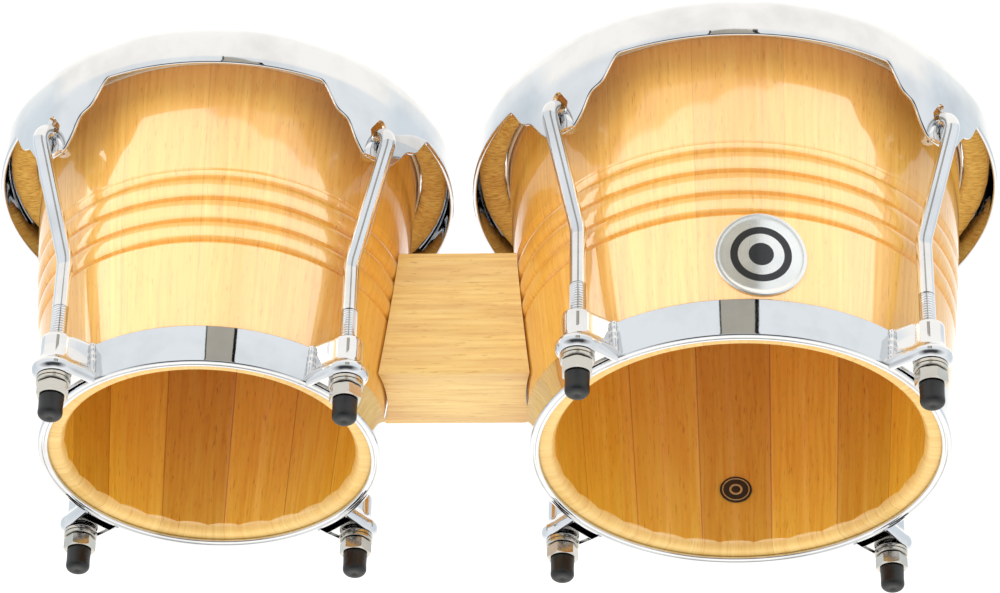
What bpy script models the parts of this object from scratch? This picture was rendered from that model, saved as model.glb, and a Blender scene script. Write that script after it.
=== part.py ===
"""Bongo drums: two wooden stave shells on a joining block, each with a tunable head.

Metres, +Z up. The pair stands on the rubber caps of its tuning rods, small drum at -X,
badge towards -Y. Z = 0 is the tip of the caps.
"""

import math

import bmesh
import bpy
from mathutils import Matrix, Vector

# ---------------------------------------------------------------- driving dimensions
SPACING = 0.2312  # between the two drums' axes
GAP = 0.0003  # kept between touching pieces
TURN_STEPS = 36  # facets round a shell or a rim

SHELL_BOTTOM = 0.0227
SHELL_TOP = 0.1890
SHELL_BULGE = 1.65  # exponent of the barrel curve
WALL = 0.0090
BEAD_LINES = (0.0813, 0.0909, 0.1019, 0.1125)  # grooves between the turned beads
BEAD_CROWN = 0.0005
GROOVE_DEPTH = 0.0014
CHAMFER = 0.0045  # on the inside of the shell's open end

RING_BOTTOM = 0.0208
RING_TOP = 0.0386
RING_WALL = 0.0020
RING_LIP = 0.0044  # how far the ring turns in under the shell

RIM_EDGE = 0.1590  # lower edge of the skirt between the ears
RIM_CREST = 0.1837
RIM_ROUND = 0.0120  # radius over the outside of the crown
RIM_SHEET = 0.0020
RIM_INNER_EDGE = 0.1768
SKIRT_LEAN = 0.0003
EAR_BOTTOM = 0.1303
EAR_SIDE = ((0.0315, 0.1590), (0.0240, 0.1470), (0.0175, 0.1440), (0.0125, 0.1360), (0.0070, 0.1303))
EAR_HOLE = (
    (-0.0046, 0.1384),
    (0.0046, 0.1384),
    (0.0056, 0.1440),
    (0.0028, 0.1512),
    (-0.0028, 0.1512),
    (-0.0056, 0.1440),
)
EAR_MIDDLE = 0.1450
EAR_LEAN = (0.0011, 0.0034)  # how far the ears stand in from the skirt, at their middle and bottom

SKIN = 0.0009
SKIN_EDGE = 0.1710
TUCK_WALL = 0.0018
TUCK_WIDTH = 0.0122
TUCK_BOTTOM = 0.1706
TUCK_TOP = 0.1765
TUCK_EASE = 0.0014
HOOP_BOTTOM = 0.1727
HOOP_TOP = 0.1747

ROD = 0.0036  # radius
ROD_END = 0.0028
ROD_LEAN = math.radians(20)
HOOK_RADIUS = 0.0062
HOOK_HEIGHT = 0.1367  # of the hook's centre
HOOK_INSET = 0.0026  # of the hook's centre from the skirt
HOOK_TIP = 0.1358
ROD_HOLE = 0.0040
LUG_COUNT = 4

CAP = 0.0054
CAP_TOP = 0.0100
NUT_FLATS = 0.0124
NUT_BOTTOM = 0.0103
NUT_TOP = 0.0161
WASHER = 0.0075
WASHER_BOTTOM = 0.0164
WASHER_TOP = 0.0199
BRACKET_BOTTOM = 0.0202
BRACKET_TOP = 0.0398
BRACKET_FLANGE_TOP = 0.0265
BRACKET_NOSE = 0.0068
BRACKET_FLANGE_NOSE = 0.0097
BRACKET_FOOT = 0.0090  # half width where it meets the ring
BRACKET_FLANGE_FOOT = 0.0112

BLOCK_BOTTOM = 0.0511
BLOCK_TOP = 0.1158
BLOCK_DEPTH = 0.0400
BOLT = 0.0030
BOLT_HOLE = 0.0034
BOLT_HEAD = 0.0056
BOLT_HEAD_HEIGHT = 0.0040
BOLT_LENGTH = 0.0270  # under the head
BOLT_REACH = 0.0180  # into the block
BOLT_HEIGHTS = (0.0690, 0.0980)

BADGE = 0.0196  # radius
BADGE_HEIGHT = 0.0604
BADGE_SHEET = 0.0009
BADGE_ANGLE = math.radians(-84.9)
LABEL = 0.0073
LABEL_HEIGHT = 0.0549
LABEL_SHEET = 0.0005

SMALL = {
    "name": "small",
    "bottom": 0.0719,
    "top": 0.0864,
    "staves": 14,
    "ring": 0.0749,
    "rim": 0.1038,
    "rods": 0.0876,
    "turn": math.radians(1.9),
    "block_side": 0.0,
}
LARGE = {
    "name": "large",
    "bottom": 0.0887,
    "top": 0.1027,
    "staves": 16,
    "ring": 0.0917,
    "rim": 0.1195,
    "rods": 0.1046,
    "turn": math.radians(3.7),
    "block_side": math.pi,
}
SMALL["x"] = (SMALL["rim"] - LARGE["rim"] - SPACING) / 2
LARGE["x"] = SMALL["x"] + SPACING

# ---------------------------------------------------------------- scene and materials
for old in list(bpy.data.objects):
    bpy.data.objects.remove(old, do_unlink=True)

parts = bpy.data.collections.new("bongo_drums")
cutters = bpy.data.collections.new("cutters")
bpy.context.scene.collection.children.link(parts)
bpy.context.scene.collection.children.link(cutters)


def material(name, colour, roughness, metallic=0.0):
    made = bpy.data.materials.new(name)
    made.use_nodes = True
    shader = made.node_tree.nodes["Principled BSDF"]
    shader.inputs["Base Color"].default_value = (*colour, 1)
    shader.inputs["Roughness"].default_value = roughness
    shader.inputs["Metallic"].default_value = metallic
    made.diffuse_color = (*colour, 1)
    return made


WOOD = material("lacquered_wood", (0.87, 0.62, 0.27), 0.25)
BLOCK_WOOD = material("block_wood", (0.80, 0.52, 0.22), 0.35)
CHROME = material("chrome", (0.85, 0.85, 0.86), 0.06, 1.0)
NICKEL = material("nickel", (0.70, 0.68, 0.64), 0.25, 1.0)
STEEL = material("steel", (0.55, 0.55, 0.56), 0.35, 1.0)
HIDE = material("hide", (0.78, 0.66, 0.45), 0.8)
RUBBER = material("rubber", (0.02, 0.02, 0.02), 0.5)
LABEL_INK = material("label", (0.02, 0.02, 0.02), 0.4)


# ---------------------------------------------------------------- shape helpers
def place(name, mesh, finish, parent, collection=parts, angle=0.0, radius=0.0):
    """An object of this mesh, turned about the drum's axis and moved out from it."""
    made = bpy.data.objects.new(name, mesh)
    collection.objects.link(made)
    made.parent = parent
    made.location = (radius * math.cos(angle), radius * math.sin(angle), 0)
    made.rotation_euler = (0, 0, angle)
    if finish and not mesh.materials:
        mesh.materials.append(finish)
    return made


def as_cutter(made):
    made.hide_render = True
    made.display_type = "WIRE"
    return made


def turned_mesh(name, profile, closed):
    """The (radius, height) points of a turned shape as a wire in the XZ plane."""
    mesh = bpy.data.meshes.new(name)
    count = len(profile)
    edges = [(i, i + 1) for i in range(count - 1)]
    if closed:
        edges.append((count - 1, 0))
    mesh.from_pydata([(r, 0, z) for r, z in profile], edges, [])
    return mesh


def turned(
    name, profile, finish, parent, steps=TURN_STEPS, closed=False, collection=parts, angle=0.0, radius=0.0
):
    """A turned solid: its profile runs down the outer side, and a closed one is a ring's section."""
    made = place(name, turned_mesh(name, profile, closed), finish, parent, collection, angle, radius)
    screw = made.modifiers.new("turn", "SCREW")
    screw.axis = "Z"
    screw.angle = math.tau
    screw.steps = steps
    screw.render_steps = steps
    screw.use_merge_vertices = True
    screw.merge_threshold = 0.00001
    screw.use_smooth_shade = True
    return made


def boolean(made, other, operation="DIFFERENCE"):
    modifier = made.modifiers.new(f"{operation.lower()}_{other.name}", "BOOLEAN")
    modifier.operation = operation
    modifier.object = other


def baked(made, used=()):
    """The evaluated mesh of an object, which is then removed with its helpers."""
    bpy.context.view_layer.update()
    graph = bpy.context.evaluated_depsgraph_get()
    mesh = bpy.data.meshes.new_from_object(made.evaluated_get(graph))
    for helper in (made, *used):
        bpy.data.objects.remove(helper, do_unlink=True)
    form = bmesh.new()
    form.from_mesh(mesh)
    bmesh.ops.remove_doubles(form, verts=form.verts, dist=0.000005)
    form.to_mesh(mesh)
    form.free()
    return mesh


def plate(name, outline, low, high, parent=None, collection=cutters):
    """A flat outline in XY, raised between two heights, as a mesh object."""
    curve = bpy.data.curves.new(name, "CURVE")
    curve.dimensions = "2D"
    curve.fill_mode = "BOTH"
    curve.extrude = (high - low) / 2
    spline = curve.splines.new("POLY")
    spline.points.add(len(outline) - 1)
    for point, (x, y) in zip(spline.points, outline):
        point.co = (x, y, 0, 1)
    spline.use_cyclic_u = True
    made = bpy.data.objects.new(name, curve)
    collection.objects.link(made)
    mesh = baked(made)
    mesh.transform(Matrix.Translation((0, 0, (high + low) / 2)))
    return place(name, mesh, None, parent, collection)


def arc(centre, radius, start, end, count):
    """Points along an arc, angles in radians."""
    steps = [start + (end - start) * i / (count - 1) for i in range(count)]
    return [(centre[0] + radius * math.cos(a), centre[1] + radius * math.sin(a)) for a in steps]


def radial_cutter(name, outline, reach, parent, angle):
    """A flat outline of (sideways, height) points, pushed through the wall at this angle."""
    made = plate(name, outline, reach[0], reach[1], parent)
    # The outline's X becomes tangential and its Y becomes height, so the prism runs radially.
    tilt = Matrix(((0, 0, 1), (1, 0, 0), (0, 1, 0))).to_4x4()
    made.data.transform(tilt)
    made.rotation_euler = (0, 0, angle)
    return as_cutter(made)


# ---------------------------------------------------------------- shells
def shell_radius(drum, height):
    """Outside of the shell, without its beads."""
    along = (height - SHELL_BOTTOM) / (SHELL_TOP - SHELL_BOTTOM)
    along = min(max(along, 0.0), 1.0)
    return drum["bottom"] + (drum["top"] - drum["bottom"]) * (1 - (1 - along) ** SHELL_BULGE)


def shell_outline(drum):
    """Bearing edge, barrel, three beads, barrel and open end, from the top down."""
    top = drum["top"]
    points = [(0, SHELL_TOP), (top - 0.0040, SHELL_TOP), (top - 0.0010, SHELL_TOP - 0.0012)]
    points += [(shell_radius(drum, z), z) for z in (0.1860, 0.1600, 0.1300)]
    lines = BEAD_LINES[::-1]
    points.append((shell_radius(drum, lines[0]), lines[0] + 0.0015))
    for upper, lower in zip(lines, lines[1:]):
        points.append((shell_radius(drum, upper) - GROOVE_DEPTH, upper))
        for part in (0.3, 0.7):
            z = upper + (lower - upper) * part
            points.append((shell_radius(drum, z) + BEAD_CROWN, z))
    points.append((shell_radius(drum, lines[-1]) - GROOVE_DEPTH, lines[-1]))
    points += [(shell_radius(drum, z), z) for z in (0.0780, 0.0520, SHELL_BOTTOM + 0.0010)]
    points += [(drum["bottom"] - 0.0010, SHELL_BOTTOM), (0, SHELL_BOTTOM)]
    return points


def inner_radius(drum, height):
    """Distance from the axis to the middle of a stave's inner face."""
    along = (height - SHELL_BOTTOM) / (SHELL_TOP - SHELL_BOTTOM)
    return drum["bottom"] - WALL + (drum["top"] - drum["bottom"]) * along


def add_shell(drum, centre):
    name = drum["name"]
    shell = turned(f"{name}_shell", shell_outline(drum), WOOD, centre)
    low, high = SHELL_BOTTOM - 0.01, SHELL_TOP + 0.01
    corner = 1 / math.cos(math.pi / drum["staves"])
    hollow = [(0, high), (inner_radius(drum, high) * corner, high)]
    hollow += [(inner_radius(drum, low) * corner, low), (0, low)]
    half_stave = math.pi / drum["staves"]
    cut = turned(f"{name}_hollow", hollow, None, centre, drum["staves"], collection=cutters, angle=half_stave)
    boolean(shell, as_cutter(cut))
    wide = drum["bottom"] - WALL + CHAMFER
    bevel = [(0, SHELL_BOTTOM + CHAMFER * 2), (wide - CHAMFER * 0.9, SHELL_BOTTOM + CHAMFER)]
    bevel += [(wide, SHELL_BOTTOM - 0.0005), (0, SHELL_BOTTOM - 0.0005)]
    cut = turned(f"{name}_chamfer", bevel, None, centre, collection=cutters)
    boolean(shell, as_cutter(cut))
    for index, height in enumerate(BOLT_HEIGHTS):
        circle = arc((0, height), BOLT_HOLE, 0, math.tau * 11 / 12, 12)
        reach = (drum["bottom"] - 0.03, drum["top"] + 0.03)
        cut = radial_cutter(f"{name}_bolt_hole_{index + 1}", circle, reach, centre, drum["block_side"])
        boolean(shell, cut)
    return shell


# ---------------------------------------------------------------- joining block and its bolts
def add_block(origin, centres):
    left, right = SMALL["x"], LARGE["x"]
    front, back = -BLOCK_DEPTH / 2, BLOCK_DEPTH / 2
    outline = [(left, front), (right, front), (right, back), (left, back)]
    made = plate("joining_block", outline, BLOCK_BOTTOM, BLOCK_TOP, origin, parts)
    made.data.materials.append(BLOCK_WOOD)
    for drum in (SMALL, LARGE):
        centre = centres[drum["name"]]
        heights = (0.14, 0.1158, 0.1, 0.08, 0.06, 0.04)
        body = [(0, 0.14)] + [(shell_radius(drum, z) + BEAD_CROWN + GAP, z) for z in heights] + [(0, 0.04)]
        cut = turned(f"{drum['name']}_saddle", body, None, centre, collection=cutters)
        boolean(made, as_cutter(cut))
        for index, height in enumerate(BOLT_HEIGHTS):
            circle = arc((0, height), BOLT_HOLE, 0, math.tau * 11 / 12, 12)
            surface = shell_radius(drum, height)
            reach = (surface - 0.005, surface + BOLT_REACH + 0.001)
            name = f"{drum['name']}_block_hole_{index + 1}"
            boolean(made, radial_cutter(name, circle, reach, centre, drum["block_side"]))
    return made


def bolt_mesh():
    """A pan-head bolt along +X, with the underside of its head at the origin."""
    profile = [(0, BOLT_HEAD_HEIGHT), (BOLT_HEAD * 0.75, BOLT_HEAD_HEIGHT)]
    profile += [(BOLT_HEAD, BOLT_HEAD_HEIGHT * 0.5), (BOLT_HEAD, 0), (BOLT, 0)]
    profile += [(BOLT, -BOLT_LENGTH), (0, -BOLT_LENGTH)]
    made = turned("bolt_pattern", profile, STEEL, None, 12)
    mesh = baked(made)
    mesh.transform(Matrix.Rotation(-math.pi / 2, 4, "Y"))
    return mesh


def add_bolts(drum, centre, mesh):
    for index, height in enumerate(BOLT_HEIGHTS):
        side = drum["block_side"]
        radius = inner_radius(drum, height) - 0.0007
        bolt = place(f"{drum['name']}_block_bolt_{index + 1}", mesh, STEEL, centre, angle=side, radius=radius)
        bolt.location.z = height


# ---------------------------------------------------------------- bottom ring and brackets
def add_ring(drum, centre):
    wide = shell_radius(drum, RING_TOP) + GAP
    narrow = drum["ring"] - RING_WALL
    section = [
        (wide, RING_TOP),
        (wide + RING_WALL, RING_TOP),
        (drum["ring"], RING_BOTTOM + 0.0008),
        (drum["ring"] - 0.0008, RING_BOTTOM),
        (drum["ring"] - RING_LIP, RING_BOTTOM),
        (drum["ring"] - RING_LIP, RING_BOTTOM + 0.0015),
        (narrow, RING_BOTTOM + 0.0015),
    ]
    return turned(f"{drum['name']}_bottom_ring", section, CHROME, centre, closed=True)


def teardrop(nose, foot, length):
    """Outline of a bracket seen from above: round nose at the rod, straight sides to the ring."""
    lean = math.asin((foot - nose) / length)
    start = math.pi / 2 + lean
    points = arc((0, 0), nose, -start, start, 9)
    return points + [(-length, foot), (-length, -foot)]


def bracket_mesh(drum):
    """A lug bracket with the rod's axis on Z and the drum's axis towards -X."""
    length = drum["rods"] - drum["ring"] + 0.0040
    wall = teardrop(BRACKET_NOSE, BRACKET_FOOT, length)
    body = plate("bracket_body", wall, BRACKET_BOTTOM + 0.001, BRACKET_TOP)
    foot = teardrop(BRACKET_FLANGE_NOSE, BRACKET_FLANGE_FOOT, length)
    flange = plate("bracket_flange", foot, BRACKET_BOTTOM, BRACKET_FLANGE_TOP)
    boolean(body, flange, "UNION")
    hole = [(0, 0.06), (ROD_HOLE, 0.06), (ROD_HOLE, 0.01), (0, 0.01)]
    bore = turned("bracket_bore", hole, None, None, 12, collection=cutters)
    boolean(body, bore)
    top = shell_radius(drum, RING_TOP) + GAP + RING_WALL + GAP
    slope = (top - GAP - drum["ring"]) / (RING_TOP - RING_BOTTOM - 0.0008)
    low, high = 0.010, 0.050
    upper, lower = (drum["ring"] + GAP + slope * (z - RING_BOTTOM - 0.0008) for z in (high, low))
    profile = [(0, high), (upper, high), (lower, low), (0, low)]
    seat = turned("bracket_seat", profile, None, None, collection=cutters)
    seat.location.x = -drum["rods"]
    boolean(body, seat)
    return baked(body, (flange, bore, seat))


# ---------------------------------------------------------------- tension hardware
def rod_points(drum):
    """Centre line of a tuning rod in its lug's plane: straight, leaning, then hooked in and down."""
    middle = drum["rim"] - HOOK_INSET
    lean_end = (middle + HOOK_RADIUS * math.cos(ROD_LEAN), HOOK_HEIGHT - HOOK_RADIUS * math.sin(ROD_LEAN))
    bend = lean_end[1] - (lean_end[0] - drum["rods"]) / math.tan(ROD_LEAN)
    bend_radius = 0.020
    setback = bend_radius * math.tan(ROD_LEAN / 2)
    points = [(drum["rods"], ROD_END), (drum["rods"], bend - setback)]
    centre = (drum["rods"] + bend_radius, bend - setback)
    points += arc(centre, bend_radius, math.pi, math.pi - ROD_LEAN, 3)[1:]
    points += arc((middle, HOOK_HEIGHT), HOOK_RADIUS, -ROD_LEAN, math.pi, 7)
    points.append((middle - HOOK_RADIUS, HOOK_TIP))
    return points


def rod_mesh(drum):
    curve = bpy.data.curves.new("rod_line", "CURVE")
    curve.dimensions = "3D"
    curve.bevel_depth = ROD
    curve.bevel_resolution = 2
    curve.use_fill_caps = True
    points = rod_points(drum)
    spline = curve.splines.new("POLY")
    spline.points.add(len(points) - 1)
    for point, (radius, height) in zip(spline.points, points):
        point.co = (radius - drum["rods"], 0, height, 1)
    made = bpy.data.objects.new("rod_line", curve)
    cutters.objects.link(made)
    return baked(made)


def nut_mesh():
    corner = NUT_FLATS / math.sqrt(3)
    profile = [(0, NUT_TOP), (corner, NUT_TOP), (corner, NUT_BOTTOM), (0, NUT_BOTTOM)]
    made = turned("nut_pattern", profile, None, None, 6)
    hole = [(0, 0.03), (ROD_HOLE, 0.03), (ROD_HOLE, 0.0), (0, 0.0)]
    bore = turned("nut_bore", hole, None, None, 12, collection=cutters)
    boolean(made, bore)
    return baked(made, (bore,))


def washer_mesh():
    inner = ROD_HOLE + 0.0001
    section = [(inner, WASHER_TOP), (WASHER, WASHER_TOP), (WASHER, WASHER_BOTTOM), (inner, WASHER_BOTTOM)]
    return baked(turned("washer_pattern", section, None, None, 16, closed=True))


def cap_mesh():
    """A rubber cap: a blind sleeve over the end of the rod, with a rounded tip."""
    bore = ROD + GAP
    floor = ROD_END - GAP
    profile = [(0, floor), (bore, floor), (bore, CAP_TOP), (CAP - 0.0004, CAP_TOP), (CAP, CAP_TOP - 0.0004)]
    profile += [(CAP, 0.0030), (CAP - 0.0009, 0.0010), (CAP - 0.0024, 0), (0, 0)]
    return baked(turned("cap_pattern", profile, None, None, 10))


def add_lugs(drum, centre, shared):
    name = drum["name"]
    bracket = bracket_mesh(drum)
    rod = rod_mesh(drum)
    for index in range(LUG_COUNT):
        angle = drum["turn"] + math.radians(45) + index * math.tau / LUG_COUNT
        at = {"angle": angle, "radius": drum["rods"]}
        place(f"{name}_lug_bracket_{index + 1}", bracket, CHROME, centre, **at)
        place(f"{name}_tuning_rod_{index + 1}", rod, CHROME, centre, **at)
        place(f"{name}_washer_{index + 1}", shared["washer"], NICKEL, centre, **at)
        place(f"{name}_nut_{index + 1}", shared["nut"], NICKEL, centre, **at)
        place(f"{name}_rod_cap_{index + 1}", shared["cap"], RUBBER, centre, **at)


# ---------------------------------------------------------------- rim and head
def rim_section(drum):
    """Section of the rim before its ears are cut: skirt, crown and inner edge, closed."""
    outer = drum["rim"]
    inner = drum["top"] + GAP + SKIN + 0.0010
    crest = outer - RIM_ROUND
    small = crest - inner
    bend = RIM_CREST - RIM_ROUND
    points = arc((crest, RIM_CREST - small), small, math.pi, math.pi / 2, 3)
    points += arc((crest, bend), RIM_ROUND, math.pi / 2, 0, 5)[1:]
    skirt = [(outer, RIM_EDGE + 0.0060), (outer - SKIRT_LEAN, RIM_EDGE)]
    skirt += [(outer - EAR_LEAN[0], EAR_MIDDLE), (outer - EAR_LEAN[1], EAR_BOTTOM)]
    points += skirt + [(radius - RIM_SHEET, height) for radius, height in skirt[:0:-1]]
    points += arc((crest, bend), RIM_ROUND - RIM_SHEET, 0, math.pi / 2, 4)
    points += [(inner + RIM_SHEET, RIM_CREST - small - 0.0008), (inner + RIM_SHEET, RIM_INNER_EDGE)]
    points += [(inner, RIM_INNER_EDGE)]
    return points


def gap_outline(drum):
    """Outline between two ears, as (sideways, height), seen from halfway between them."""
    radius = drum["rim"]
    half_pitch = math.pi / LUG_COUNT
    side = [(radius * math.sin(half_pitch - half / radius), height) for half, height in EAR_SIDE]
    low = (side[-1][0] + 0.003, EAR_BOTTOM - 0.008)
    right = side + [low]
    left = [(-x, z) for x, z in right[::-1]]
    return right + left


def add_rim(drum, centre):
    name = drum["name"]
    rim = turned(f"{name}_rim", rim_section(drum), CHROME, centre, closed=True)
    reach = (drum["rim"] * 0.5, drum["rim"] + 0.02)
    for index in range(LUG_COUNT):
        lug = drum["turn"] + math.radians(45) + index * math.tau / LUG_COUNT
        between = lug + math.pi / LUG_COUNT
        boolean(rim, radial_cutter(f"{name}_ear_gap_{index + 1}", gap_outline(drum), reach, centre, between))
        boolean(rim, radial_cutter(f"{name}_ear_hole_{index + 1}", EAR_HOLE, reach, centre, lug))
    return rim


def add_head(drum, centre):
    """The skin over the bearing edge, and the hide lapped round its flesh hoop outside the shell."""
    name = drum["name"]
    inside = drum["top"] + GAP
    outside = inside + SKIN
    under = SHELL_TOP + GAP
    over = under + SKIN
    skin = [(0, over), (inside - 0.0030, over), (outside - 0.0006, over - 0.0018), (outside, over - 0.0040)]
    skin += [(outside, SKIN_EDGE), (inside, SKIN_EDGE)]
    skin += [(inside, under - 0.0032), (inside - 0.0008, under - 0.0010)]
    skin += [(inside - 0.0036, under), (0, under)]
    turned(f"{name}_head_skin", skin, HIDE, centre)
    near = outside + GAP
    far = near + TUCK_WIDTH
    tuck = [
        (near, TUCK_TOP),
        (near + TUCK_WALL, TUCK_TOP),
        (near + TUCK_WALL, HOOP_BOTTOM - GAP),
        (far - TUCK_WALL, HOOP_BOTTOM - GAP),
        (far - TUCK_WALL, TUCK_TOP - 0.0015),
        (far - 0.0010, TUCK_TOP - 0.0015),
        (far, TUCK_TOP - 0.0035),
        (far, TUCK_BOTTOM + TUCK_EASE),
        (far - TUCK_EASE, TUCK_BOTTOM),
        (near + TUCK_EASE, TUCK_BOTTOM),
        (near, TUCK_BOTTOM + TUCK_EASE),
    ]
    turned(f"{name}_hide_collar", tuck, HIDE, centre, closed=True)
    hoop_in = near + TUCK_WALL + GAP
    hoop_out = far - TUCK_WALL - GAP
    hoop = [(hoop_in, HOOP_TOP), (hoop_out, HOOP_TOP), (hoop_out, HOOP_BOTTOM), (hoop_in, HOOP_BOTTOM)]
    turned(f"{name}_flesh_hoop", hoop, STEEL, centre, closed=True)


# ---------------------------------------------------------------- badge and label
def add_badge(centre):
    """A round plate bent to the large shell."""
    heights = (0.0840, 0.0720, 0.0600, 0.0480, 0.0370)
    outer = [(shell_radius(LARGE, z) + GAP + BADGE_SHEET, z) for z in heights]
    inner = [(shell_radius(LARGE, z) + GAP, z) for z in heights[::-1]]
    badge = turned("badge", outer + inner, CHROME, centre, closed=True)
    circle = arc((0, BADGE_HEIGHT), BADGE, 0, math.tau * 23 / 24, 24)
    cut = radial_cutter("badge_outline", circle, (0.05, 0.15), centre, BADGE_ANGLE)
    boolean(badge, cut, "INTERSECT")


def add_label(centre):
    """A round label on the inner face of the large shell's back stave."""
    profile = [(0, LABEL_SHEET), (LABEL, LABEL_SHEET), (LABEL, 0), (0, 0)]
    mesh = baked(turned("label_pattern", profile, None, None, 20))
    lean = math.atan((LARGE["top"] - LARGE["bottom"]) / (SHELL_TOP - SHELL_BOTTOM))
    mesh.transform(Matrix.Rotation(-math.pi / 2 + lean, 4, "Y"))
    label = place("inner_label", mesh, LABEL_INK, centre, angle=math.pi / 2)
    label.location = Vector((0, inner_radius(LARGE, LABEL_HEIGHT) - GAP, LABEL_HEIGHT))


# ---------------------------------------------------------------- assembly
def empty(name, x, parent=None):
    made = bpy.data.objects.new(name, None)
    parts.objects.link(made)
    made.location = (x, 0, 0)
    made.parent = parent
    return made


def build():
    origin = empty("bongo_origin", 0)
    centres = {drum["name"]: empty(f"{drum['name']}_axis", drum["x"], origin) for drum in (SMALL, LARGE)}
    shared = {"nut": nut_mesh(), "washer": washer_mesh(), "cap": cap_mesh()}
    bolt = bolt_mesh()
    for drum in (SMALL, LARGE):
        centre = centres[drum["name"]]
        add_shell(drum, centre)
        add_ring(drum, centre)
        add_rim(drum, centre)
        add_head(drum, centre)
        add_lugs(drum, centre, shared)
        add_bolts(drum, centre, bolt)
    add_block(origin, centres)
    add_badge(centres["large"])
    add_label(centres["large"])


build()
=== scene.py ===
"""Bongo drums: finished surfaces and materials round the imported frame. Metres, +Z up, badge at -Y."""

from math import asin, atan, atan2, copysign, cos, hypot, pi, radians, sin, sqrt, tan, tau

import bmesh
import bpy
from mathutils import Matrix, Vector, noise


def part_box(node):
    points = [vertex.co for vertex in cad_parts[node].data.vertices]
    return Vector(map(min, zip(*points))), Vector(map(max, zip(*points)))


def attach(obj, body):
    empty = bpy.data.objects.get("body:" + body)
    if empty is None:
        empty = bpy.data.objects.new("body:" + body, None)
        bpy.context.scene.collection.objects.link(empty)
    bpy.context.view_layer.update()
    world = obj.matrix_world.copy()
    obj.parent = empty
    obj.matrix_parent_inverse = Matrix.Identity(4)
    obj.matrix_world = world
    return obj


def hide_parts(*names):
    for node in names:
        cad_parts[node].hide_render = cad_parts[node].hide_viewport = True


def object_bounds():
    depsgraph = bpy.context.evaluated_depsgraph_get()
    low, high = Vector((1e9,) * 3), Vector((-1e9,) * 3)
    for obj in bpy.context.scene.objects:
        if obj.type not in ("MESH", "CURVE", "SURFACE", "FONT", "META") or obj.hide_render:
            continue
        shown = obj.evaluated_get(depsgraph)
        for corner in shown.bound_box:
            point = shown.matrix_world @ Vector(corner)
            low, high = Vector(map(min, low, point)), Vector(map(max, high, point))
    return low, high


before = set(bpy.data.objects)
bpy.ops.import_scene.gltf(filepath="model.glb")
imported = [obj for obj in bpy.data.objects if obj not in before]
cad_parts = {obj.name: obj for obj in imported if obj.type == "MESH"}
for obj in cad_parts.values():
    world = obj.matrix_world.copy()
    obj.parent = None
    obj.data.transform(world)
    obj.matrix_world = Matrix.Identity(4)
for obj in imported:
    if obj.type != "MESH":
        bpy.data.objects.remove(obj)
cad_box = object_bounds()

# ---- the two drums, read from the frame
GAP = 0.0003
LUGS = (1, 2, 3, 4)
BARREL = 1.65  # exponent of the shell's barrel curve
WALL = 0.0090
STAVES = {"small": 14, "large": 16}
TURNS = 192  # steps round a turned piece
RIM_TURNS = 720


def middle(node):
    low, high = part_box(node)
    return (low + high) / 2


def radii(node, x, low, high):
    """Least and greatest distance from a drum's axis, of a node's points between two heights."""
    points = [v.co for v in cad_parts[node].data.vertices if low <= v.co.z <= high]
    spans = [hypot(p.x - x, p.y) for p in points]
    return min(spans), max(spans)


def measure(name):
    """The drum's places and sizes as the frame has them."""
    shell_low, shell_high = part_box(f"{name}_shell")
    ring_low, ring_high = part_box(f"{name}_bottom_ring")
    rim_low, rim_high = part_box(f"{name}_rim")
    x = middle(f"{name}_bottom_ring").x
    lug = middle(f"{name}_nut_1")
    return {
        "name": name,
        "x": x,
        "staves": STAVES[name],
        "low": shell_low.z,
        "high": shell_high.z,
        "bottom": radii(f"{name}_shell", x, shell_low.z, shell_low.z + 0.0015)[1],
        "top": radii(f"{name}_shell", x, shell_high.z - 0.0045, shell_high.z)[1],
        "ring_low": ring_low.z,
        "ring_high": ring_high.z,
        "ring": radii(f"{name}_bottom_ring", x, ring_low.z, ring_low.z + 0.001)[1],
        "lip": radii(f"{name}_bottom_ring", x, ring_low.z, ring_low.z + 0.001)[0],
        "rim": radii(f"{name}_rim", x, 0.165, 0.172)[1],
        "rim_inner": radii(f"{name}_rim", x, rim_high.z - 0.008, rim_high.z)[0],
        "crest": rim_high.z,
        "ears": rim_low.z,
        "rods": hypot(lug.x - x, lug.y),
        "turn": atan2(lug.y, lug.x - x) - radians(45),
    }


SMALL, LARGE = measure("small"), measure("large")
DRUMS = (SMALL, LARGE)


def shell_radius(drum, height):
    along = min(max((height - drum["low"]) / (drum["high"] - drum["low"]), 0.0), 1.0)
    return drum["bottom"] + (drum["top"] - drum["bottom"]) * (1 - (1 - along) ** BARREL)


def stave_distance(drum, height):
    """From the axis to the middle of a stave's flat inner face."""
    along = (height - drum["low"]) / (drum["high"] - drum["low"])
    return drum["bottom"] - WALL + (drum["top"] - drum["bottom"]) * along


def lug_angle(drum, lug):
    return drum["turn"] + radians(45) + (lug - 1) * tau / len(LUGS)


def lug_place(drum, lug):
    """From a lug's own place (rod on Z, drum towards -X) to the pair's frame."""
    turn = Matrix.Rotation(lug_angle(drum, lug), 4, "Z")
    return Matrix.Translation((drum["x"], 0, 0)) @ turn @ Matrix.Translation((drum["rods"], 0, 0))


# ---- bench tools
shape = bpy.ops.mesh  # the edit-mode tools


def clear():
    if bpy.context.mode != "OBJECT":
        bpy.ops.object.mode_set(mode="OBJECT")
    bpy.ops.object.select_all(action="DESELECT")


def edit():
    bpy.ops.object.mode_set(mode="EDIT")
    shape.select_mode(type="VERT")


def leave():
    bpy.ops.object.mode_set(mode="OBJECT")


def pick(*made):
    clear()
    for one in made:
        one.select_set(True)
    bpy.context.view_layer.objects.active = made[0]


def named(name):
    made = bpy.context.object
    made.name = name
    made.data.name = name
    return made


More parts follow.
